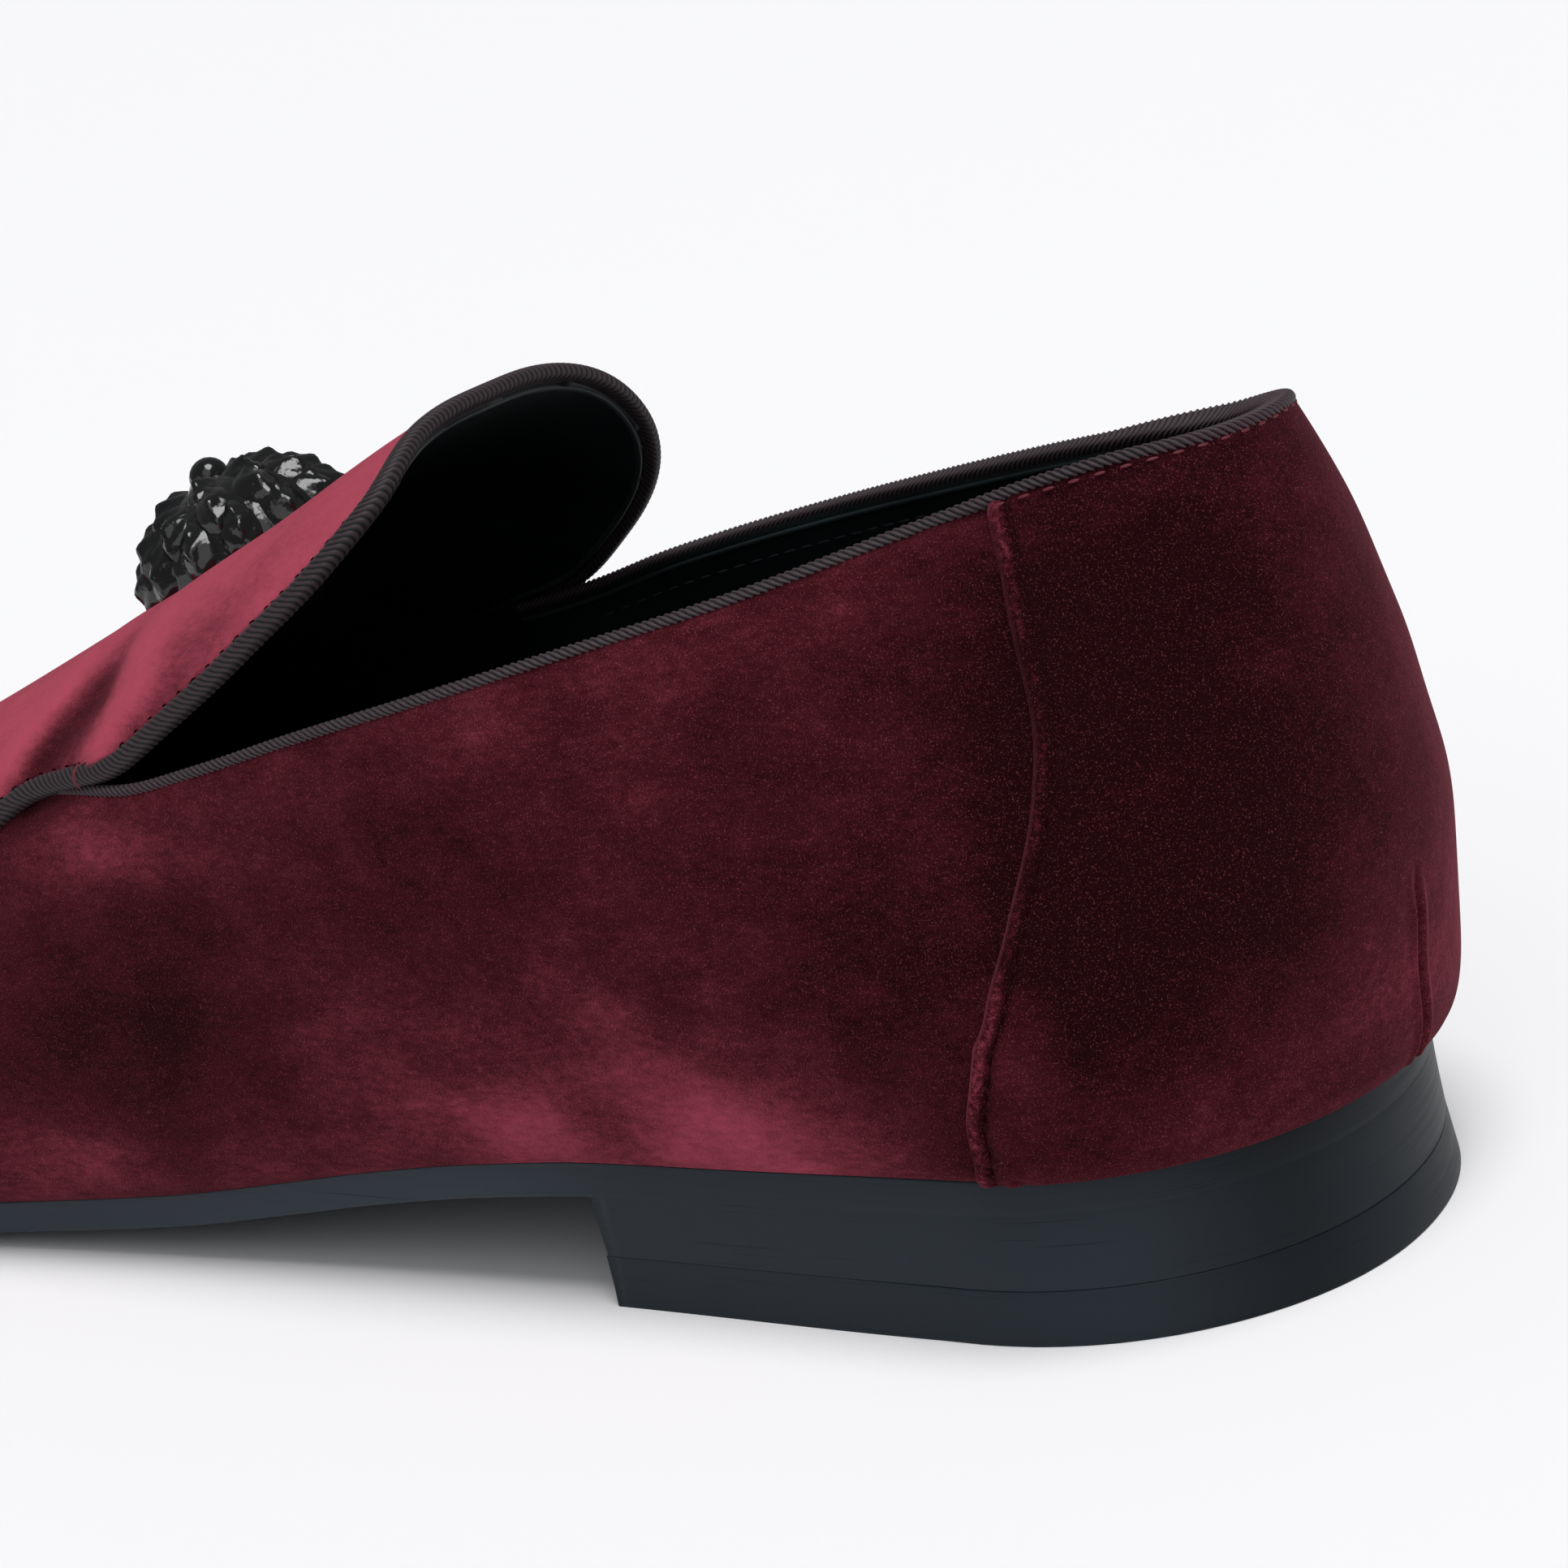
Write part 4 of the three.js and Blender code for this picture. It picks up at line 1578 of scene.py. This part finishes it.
@dataclass
class Layer:
    """A layer under or in the shoe, closed towards the middle above and below."""

    levels: tuple[Level, ...]
    columns: int = 360
    fill: tuple[float, ...] = (0, 0.45, 0.78, 0.94)
    # Painted shade on the edge: a dark band where the heel turns and shade behind it; heel darkens the edge
    # over the heel.
    dark_way: float = -0.09
    dark_width: float = 0.045
    dark: float = 0.3
    back: float = 0.4
    back_span: Span = (-0.06, 0.02)
    heel: float = 0.0
    heel_span: Span = (0.3, 0.36)

    def edge_darkening(self, way: np.ndarray) -> np.ndarray:
        """How dark the edge is painted: painted shade behind the heel and where it turns, and darker over the
        heel.

        Args:
            way: Ways round the shoe.

        Returns:
            0 for the plain colour, up to 1 for the dark one.
        """
        start, end = self.back_span
        behind = self.back * ease(way, self.dark_way + start, self.dark_way + end)
        turning = self.dark * bump(way - self.dark_way, self.dark_width)
        return behind + turning + self.heel * (1 - ease(np.abs(way), *self.heel_span))

    def sheet(self) -> Sheet:
        """Builds the layer as a closed sheet.

        Returns:
            The sheet, painted with its stain.
        """
        rings = [(self.levels[0], share) for share in self.fill]
        rings += [(level, 1.0) for level in self.levels]
        rings += [(self.levels[-1], share) for share in reversed(self.fill)]
        sheet = Sheet(self.columns, len(rings) - 1)
        index = np.rint(sheet.up * (len(rings) - 1)).astype(int)
        way = 2 * sheet.across - 1
        place = LAST.station(way)
        spots = np.zeros((len(way), 3))
        for i, (level, share) in enumerate(rings):
            here = index == i
            reach = level.reach(place) * share
            y = place.y + place.forward * reach
            ring = np.stack((place.axis + place.sideways * reach, y, level.height(y)), -1)
            spots[here] = ring[here]
        sheet.lay(spots)
        sheet.paint("edge_darkening", self.edge_darkening(way))
        sheet.close()
        return sheet


@dataclass
class Bottom:
    """The sole, the stacked heel with its top lift, and the insole."""

    gap: float = 0.3
    sole: float = 3.6
    lift: float = 5.4
    heel_length: float = 72.9
    lift_proud: float = 0.2
    lift_flare: float = 0.36
    block_grow: float = 0.24
    block_taper: float = 0.055
    sole_grow: float = 0.2
    bevel: float = 0.25
    bevel_levels: int = 4
    side_levels: tuple[float, ...] = (0.35, 0.5, 0.65)
    joint: float = 0.11
    overlap: float = 0.6
    seam_back: float = 34.0
    seam_front: float = 46.0
    seam_left: float = 0.2
    seam_even: float = 0.75
    seam_waves: tuple[Wave, Wave] = (Wave(0.25, 23, 0), Wave(1, 57, 1))
    breast_lean: float = 0.05
    insole: float = 3.0
    insole_slack: float = 2.4
    insole_shoulder: float = 0.8
    # The sole's painted shade behind the heel and where it turns, and its darkening over the heel.
    sole_heel_dark: float = 0.34
    sole_back_shade: float = 0.26
    sole_turn_shade: float = 0.2
    heel_tuck: float = 1.25
    heel_tuck_at: float = 1.1
    heel_tuck_width: float = 0.55
    heel_tuck_rise: Span = (-14.0, 16.0)
    heel_spread: float = 0.7
    heel_spread_at: float = 1.85
    heel_spread_rise: float = 11.0
    breast_draw: float = 0.6
    breast_draw_run: Span = (38.0, 74.0)
    breast_draw_past: float = 4.0

    def rounded(
        self, low: Callable[[np.ndarray], np.ndarray], high: Callable[[np.ndarray], np.ndarray],
        grow: Callable[[float], float], bevel: float,
    ) -> Layer:
        """A layer between two heights with rounded edges.

        Args:
            low: Height of its underside along the foot.
            high: Height of its upper side.
            grow: How far its edge stands out from the sole's edge, by the share of the way up.
            bevel: Size of the rounding.

        Returns:
            The layer.
        """
        quarter_turn = np.linspace(0, math.pi / 2, self.bevel_levels)

        def level(share: float, back: float, lift: float) -> Level:
            """One level of the layer.

            Args:
                share: Its share of the way up.
                back: How far it is pulled back, in parts of the rounding.
                lift: How far it is lifted, in parts of the rounding.

            Returns:
                The level.
            """

            def height(y: np.ndarray) -> np.ndarray:
                """Height of the level along the foot."""
                return low(y) + share * (high(y) - low(y)) + lift * bevel

            def reach(place: Place) -> np.ndarray:
                """How far the level's edge stands from the middle of the foot."""
                drawn_in = back * bevel * self.seam_share(place) + self.tucked(place, height(place.y))
                return place.edge + grow(share) - drawn_in + self.spread(place, height(place.y))

            return Level(reach, height)

        levels = [level(0, 1 - math.sin(turn), 1 - math.cos(turn)) for turn in quarter_turn]
        levels += [level(share, 0, 0) for share in self.side_levels]
        levels += [level(1, 1 - math.sin(turn), math.cos(turn) - 1) for turn in reversed(quarter_turn)]
        return Layer(tuple(levels))

    def tucked(self, place: Place, height: np.ndarray) -> np.ndarray:
        """How far the heel is drawn in at the back towards the inner side, most under the seat.

        Args:
            place: Where the points stand round the shoe.
            height: Their heights.

        Returns:
            One distance for each point.
        """
        turn = np.arctan2(-place.forward, place.sideways)
        drawn = self.heel_tuck * bump(turn - self.heel_tuck_at, self.heel_tuck_width)
        return drawn * ease(height, *self.heel_tuck_rise)

    def spread(self, place: Place, height: np.ndarray) -> np.ndarray:
        """How far the foot of the heel spreads behind its outer side, and is drawn in towards its breast.

        Args:
            place: Where the points stand round the shoe.
            height: Their heights.

        Returns:
            One distance for each point, below zero where it is drawn in.
        """
        turn = np.arctan2(-place.forward, place.sideways)
        behind = self.heel_spread * bump(turn - self.heel_spread_at, self.heel_tuck_width)
        y = place.y + place.forward * place.edge
        under_heel = y < self.heel_length + self.breast_draw_past
        draw = self.breast_draw * ease(y, *self.breast_draw_run) * (place.sideways < 0) * under_heel
        return (behind - draw) * (1 - ease(height, 0, self.heel_spread_rise))

    def seam_share(self, place: Place) -> np.ndarray:
        """How open the seams of the heel are: in stretches behind it and hardly towards its breast.

        Args:
            place: Where the points stand round the shoe.

        Returns:
            One share for each point.
        """
        turn = np.arctan2(place.forward, place.sideways)
        slow, fast = self.seam_waves
        stretches = self.seam_even + slow.at(turn) * fast.at(turn)
        return stretches * (1 - (1 - self.seam_left) * ease(place.y, self.seam_back, self.seam_front))

    def lift_grow(self, share: float) -> float:
        """How far the top lift's edge stands out from the sole's edge, by the share of the way up."""
        return self.block_grow + self.lift_flare * (1 - share)

    def cut_breast(self, sheet: Sheet, length: float) -> Sheet:
        """Cuts a layer off at the breast of the heel and closes the cut.

        Args:
            sheet: The layer.
            length: How far the breast lies from the back of the heel.

        Returns:
            The same layer.
        """
        bmesh.ops.bisect_plane(
            sheet.mesh,
            geom=[*sheet.mesh.verts, *sheet.mesh.edges, *sheet.mesh.faces],
            dist=1e-7,
            plane_co=Vector(LAST.row_frame(np.array((0, length, 0)))),
            plane_no=Vector((0, 1, -self.breast_lean)),
            clear_outer=True,
        )
        sheet.close()
        return sheet

    def under_sole(self, y: np.ndarray) -> np.ndarray:
        """Height of the sole's underside."""
        return LAST.seat(y) - self.gap - self.sole

    def build_sole(self) -> Sheet:
        """Builds the sole.

        Returns:
            Its sheet.
        """
        edge = self.rounded(
            self.under_sole, lambda y: LAST.seat(y) - self.gap, lambda share: self.sole_grow, self.bevel
        )
        # The sole gets painted shade behind the heel and where it turns, and is darker over the heel.
        darkened = replace(edge, heel=self.sole_heel_dark, back=self.sole_back_shade, dark=self.sole_turn_shade)
        return darkened.sheet()

    def build_block(self) -> Sheet:
        """Builds the stack of the heel.

        Returns:
            Its sheet.
        """
        foot = self.lift + self.joint / 4
        block = self.rounded(
            lambda y: np.full(y.shape, foot),
            lambda y: self.under_sole(y) + self.overlap,
            lambda share: self.block_grow - self.block_taper * share,
            self.joint,
        )
        return self.cut_breast(block.sheet(), self.heel_length)

    def build_lift(self) -> Sheet:
        """Builds the top lift, the lowest layer of the heel.

        Returns:
            Its sheet.
        """
        lift = self.rounded(
            lambda y: np.zeros(y.shape), lambda y: np.full(y.shape, self.lift), self.lift_grow, self.joint * 2
        )
        return self.cut_breast(lift.sheet(), self.heel_length + self.lift_proud)

    def inside_wall(self, height: float) -> Callable[[Place], np.ndarray]:
        """Reach of the insole inside the wall of the upper.

        Args:
            height: Height above the seat.

        Returns:
            How far the insole reaches there, by the place round the shoe.
        """

        def reach(place: Place) -> np.ndarray:
            """How far the insole reaches."""
            turn = np.arccos(1 - height / place.rise)
            return place.edge + (place.bulge - place.edge) * np.sin(turn) - self.insole_slack

        return reach

    def build_insole(self) -> Sheet:
        """Builds the insole.

        Returns:
            Its sheet.
        """
        shoulder = self.insole * self.insole_shoulder
        return Layer((
            Level(self.inside_wall(0), lambda y: LAST.seat(y) + self.gap / 2),
            Level(self.inside_wall(shoulder), lambda y: LAST.seat(y) + shoulder),
            Level(self.inside_wall(shoulder), lambda y: LAST.seat(y) + self.insole),
        )).sheet()

    def build(self) -> None:
        """Builds the four layers."""
        make_piece("outsole_edge", self.build_sole().mesh, (SOLE,), ("outsole",))
        make_piece("heel_stack", self.build_block().mesh, (HEEL,), ("heel_block",))
        make_piece("heel_lift", self.build_lift().mesh, (LIFT,), ("top_lift",))
        make_piece("sock", self.build_insole().mesh, (LINING,), ("insole",))


class LeafRow(NamedTuple):
    """A ring of leaves round the brooch: how high it sits, and the size and number of its leaves."""

    tilt: float
    count: int
    length: float
    width: float
    turn: float


@dataclass
class Brooch:
    """A domed brooch of overlapping leaves with a bud on top, pinned on the vamp."""

    y: float = 135
    across: float = 11.2
    along: float = 13.4
    height: float = 10
    sink: float = 0.6
    step: float = 0.7
    bud: float = 2.3
    leaf_height: float = 1.5
    leaf_sink: float = 0.6
    leaf_taper: float = 2.4
    leaf_point: float = 0.7
    leaf_droop: float = 1.5
    vein: float = 0.16
    rib: float = 0.3
    rib_width: float = 0.22
    rows: tuple[LeafRow, ...] = (
        LeafRow(0.22, 13, 4.4, 2.6, 0), LeafRow(0.62, 11, 4.2, 2.6, 0.5), LeafRow(1.02, 7, 3.8, 2.4, 0),
    )

    def leaf(self, mesh: bmesh.types.BMesh, row: LeafRow, matrix: Matrix) -> None:
        """Adds a pointed leaf with a raised rib and veins.

        Args:
            mesh: The mesh that it is added to.
            row: The ring that it belongs to.
            matrix: Where it goes.
        """
        grid = bmesh.ops.create_grid(mesh, x_segments=12, y_segments=18, size=1)
        for vert in grid["verts"]:
            side, end = vert.co.x, vert.co.y
            width = (1 - abs(end) ** self.leaf_taper) ** self.leaf_point
            vein = self.vein * math.cos(math.pi * (end * 3 - abs(side) * 2))
            rib = self.rib * math.exp(-((side / self.rib_width) ** 2))
            rise = (1 - side * side) * width * (1 + rib) + vein * width * (1 - abs(side))
            droop = (end * row.length) ** 2 / (self.leaf_droop * self.across)
            height = rise * self.leaf_height - self.leaf_sink - droop
            vert.co = Vector((side * width * row.width, end * row.length, height))
        bmesh.ops.transform(mesh, matrix=matrix, verts=grid["verts"])

    def build(self) -> None:
        """Builds the dome, its leaves and its bud."""
        mesh = bmesh.new()
        bmesh.ops.create_uvsphere(
            mesh, u_segments=40, v_segments=20, radius=1,
            matrix=Matrix.Diagonal((self.across, self.along, self.height, 1)),
        )
        for row in self.rows:
            for i in range(row.count):
                turn = (i + row.turn) / row.count * 2 * math.pi
                level = math.cos(row.tilt)
                out = Vector((math.cos(turn) * level, math.sin(turn) * level, math.sin(row.tilt)))
                across = Vector((-math.sin(turn), math.cos(turn), 0))
                up = out.cross(across)
                place = Matrix((across, up, out)).transposed().to_4x4()
                place.translation = Vector((out.x * self.across, out.y * self.along, out.z * self.height))
                self.leaf(mesh, row, place)
        bmesh.ops.create_icosphere(
            mesh, subdivisions=3, radius=self.bud, matrix=Matrix.Translation((0, 0, self.height))
        )
        slope = math.atan2(float(LAST.ridge(self.y + 1) - LAST.ridge(self.y - 1)), 2)
        place = Matrix.Rotation(slope, 4, "X")
        height = LAST.ridge(self.y) + self.step - self.sink
        place.translation = Vector(np.array((LAST.columns["axis"](self.y), self.y, height)))
        bmesh.ops.transform(mesh, matrix=place, verts=mesh.verts)
        for vert in mesh.verts:
            vert.co = LAST.row_frame(np.array(vert.co))
        bmesh.ops.recalc_face_normals(mesh, faces=mesh.faces)
        make_piece("brooch_leaves", mesh, (JET,), ("brooch",))


# The studio


@dataclass(frozen=True)
class SoftLight:
    """A distant soft light: where it comes from, its width in degrees and its power."""

    name: str
    source: tuple[float, float, float]
    width: float
    power: float


@dataclass
class Studio:
    """A pale floor, soft light and a camera at the photograph's angle."""

    floor_tone: Colour = (0.93, 0.93, 0.945)
    floor_half: float = 30.0
    sky: Colour = (1.0, 1.0, 1.015)
    sky_strength: float = 0.18
    lights: tuple[SoftLight, ...] = (
        SoftLight("key", (-0.14, -0.32, 1.2), 34, 2.45),
        SoftLight("fill", (-1.0, -0.5, 0.9), 50, 0.55),
    )
    camera_place: tuple[float, float, float] = (-282.317, -142.438, 144.871)
    yaw: float = 0.638
    pitch: float = -0.284
    roll: float = -0.189
    sensor: float = 36.0
    focal_pixels: float = 4458.3
    image_pixels: int = 1932

    def floor(self) -> None:
        """Lays the floor under the sole."""
        mesh = bmesh.new()
        bmesh.ops.create_grid(mesh, x_segments=1, y_segments=1, size=self.floor_half)
        data = bpy.data.meshes.new("floor")
        mesh.to_mesh(data)
        mesh.free()
        paint = Paint("floor")
        paint.shade({"Base Color": self.floor_tone, "Roughness": 0.9, "Specular IOR Level": 0.1})
        data.materials.append(paint.material)
        floor = bpy.data.objects.new("floor", data)
        bpy.context.scene.collection.objects.link(floor)

    def light(self) -> None:
        """Lights the scene from the sky and from a few wide, distant lights."""
        world = bpy.data.worlds.new("sky")
        world.use_nodes = True
        background = world.node_tree.nodes["Background"]
        background.inputs["Color"].default_value = (*self.sky, 1)
        background.inputs["Strength"].default_value = self.sky_strength
        bpy.context.scene.world = world
        for soft in self.lights:
            data = bpy.data.lights.new(soft.name, "SUN")
            data.angle = math.radians(soft.width)
            data.energy = soft.power
            lamp = bpy.data.objects.new(soft.name, data)
            lamp.rotation_euler = Vector(soft.source).to_track_quat("Z", "Y").to_euler()
            bpy.context.scene.collection.objects.link(lamp)

    def camera(self) -> None:
        """Places the camera, rolled as the photograph is."""
        level = Vector((math.cos(self.yaw), math.sin(self.yaw), 0)) * math.cos(self.pitch)
        forward = level + Vector((0, 0, math.sin(self.pitch)))
        right = forward.cross(Vector((0, 0, 1))).normalized()
        up = right.cross(forward)
        turned_right = math.cos(self.roll) * right + math.sin(self.roll) * up
        turned_up = math.cos(self.roll) * up - math.sin(self.roll) * right
        data = bpy.data.cameras.new("camera")
        data.sensor_width = self.sensor
        data.lens = self.focal_pixels / self.image_pixels * self.sensor
        data.clip_start = 0.01
        camera = bpy.data.objects.new("camera", data)
        place = Matrix((turned_right, turned_up, -forward)).transposed().to_4x4()
        place.translation = Vector(LAST.row_frame(np.array(self.camera_place)))
        camera.matrix_world = place
        bpy.context.scene.collection.objects.link(camera)
        bpy.context.scene.camera = camera

    def build(self) -> None:
        """Sets up floor, light, camera and plain colour handling."""
        self.floor()
        self.light()
        self.camera()
        bpy.context.scene.view_settings.view_transform = "Standard"


def shifted(trail: Trail, left: float, out: float) -> Trail:
    """A line beside another, at distances to its left and out of the surface."""
    return Trail(trail.moved(left, out), trail.square_out)


def part_of(trail: Trail, before: float) -> Trail:
    """The stretch of a line that lies nearer the heel than a place along the foot.

    Args:
        trail: The line.
        before: The place, as a distance from the back of the heel seat.

    Returns:
        The stretch.
    """
    kept = trail.spots[:, 1] < before
    return Trail(trail.spots[kept], trail.out[kept])


def main() -> None:
    """Builds the shoe piece by piece and sets up the studio."""
    logging.basicConfig(level=logging.INFO, format="%(name)s %(message)s")
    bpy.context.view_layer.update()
    Quarters().build()
    Vamp().build()
    counter = Counter()
    counter.build()
    topline = topline_trail()
    vamp_edge = vamp_edge_trail()
    Binding(
        "topline_ribbon", TOPLINE_RIBBON, "grosgrain", ("topline_binding",), topline,
        half_left=0.62, half_out=0.95, centre_left=-0.62, centre_out=-0.73,
        pitch=0.78, slant=1.3, rib=0.22, counter_step=1.0, inside_drop=0.25, back_sink=0.5,
    ).build()
    vamp_ribbon = Binding(
        "vamp_ribbon", VAMP_RIBBON, "grosgrain", ("vamp_binding",), vamp_edge,
        half_left=1.1, half_out=0.95, centre_left=-1.1, centre_out=0.2, pitch=0.8, slant=1.6,
    )
    vamp_ribbon.build()
    Binding(
        "vamp_lining_edge", LINING_EDGE, "lining_black", (), vamp_edge,
        half_left=0.4, half_out=0.45, centre_left=-1.9, centre_out=-0.95, rib=0, per_rib=2,
    ).build()
    Binding(
        "topline_lining_edge", LINING_EDGE, "lining_black", (), topline,
        half_left=0.3, half_out=0.4, centre_left=-1.65, centre_out=-1.75, rib=0, per_rib=2,
    ).build()
    tacks = (vamp_ribbon.wrap(Side.OUTER, y=129.5), vamp_ribbon.wrap(Side.INNER, y=117.0))
    Stitches("bar_tacks", RED_THREAD, "velvet", tacks, length=1.0, pitch=0.35, width=0.6).build()
    heel_part = part_of(shifted(topline, left=-1.7, out=1.18), before=25)
    Stitches("topline_stitches", RED_THREAD, "velvet", (heel_part,), length=1.2, pitch=2.4).build()
    seams = (counter.seam_trail(Side.OUTER), counter.seam_trail(Side.INNER))
    Stitches("counter_stitches", WINE_THREAD, "velvet", seams, length=1.2, pitch=2.0).build()
    vamp_row = shifted(vamp_edge, left=-2.38, out=0.7)
    Stitches("vamp_stitches", WINE_THREAD, "velvet", (vamp_row,), length=0.7, pitch=2.4, width=0.22).build()
    lining_row = part_of(shifted(topline, left=-3.9, out=-1.9), before=110)
    Stitches("lining_stitches", BLACK_THREAD, "lining_black", (lining_row,)).build()
    Bottom().build()
    Brooch().build()
    Studio().build()


if __name__ == "__main__":
    main()
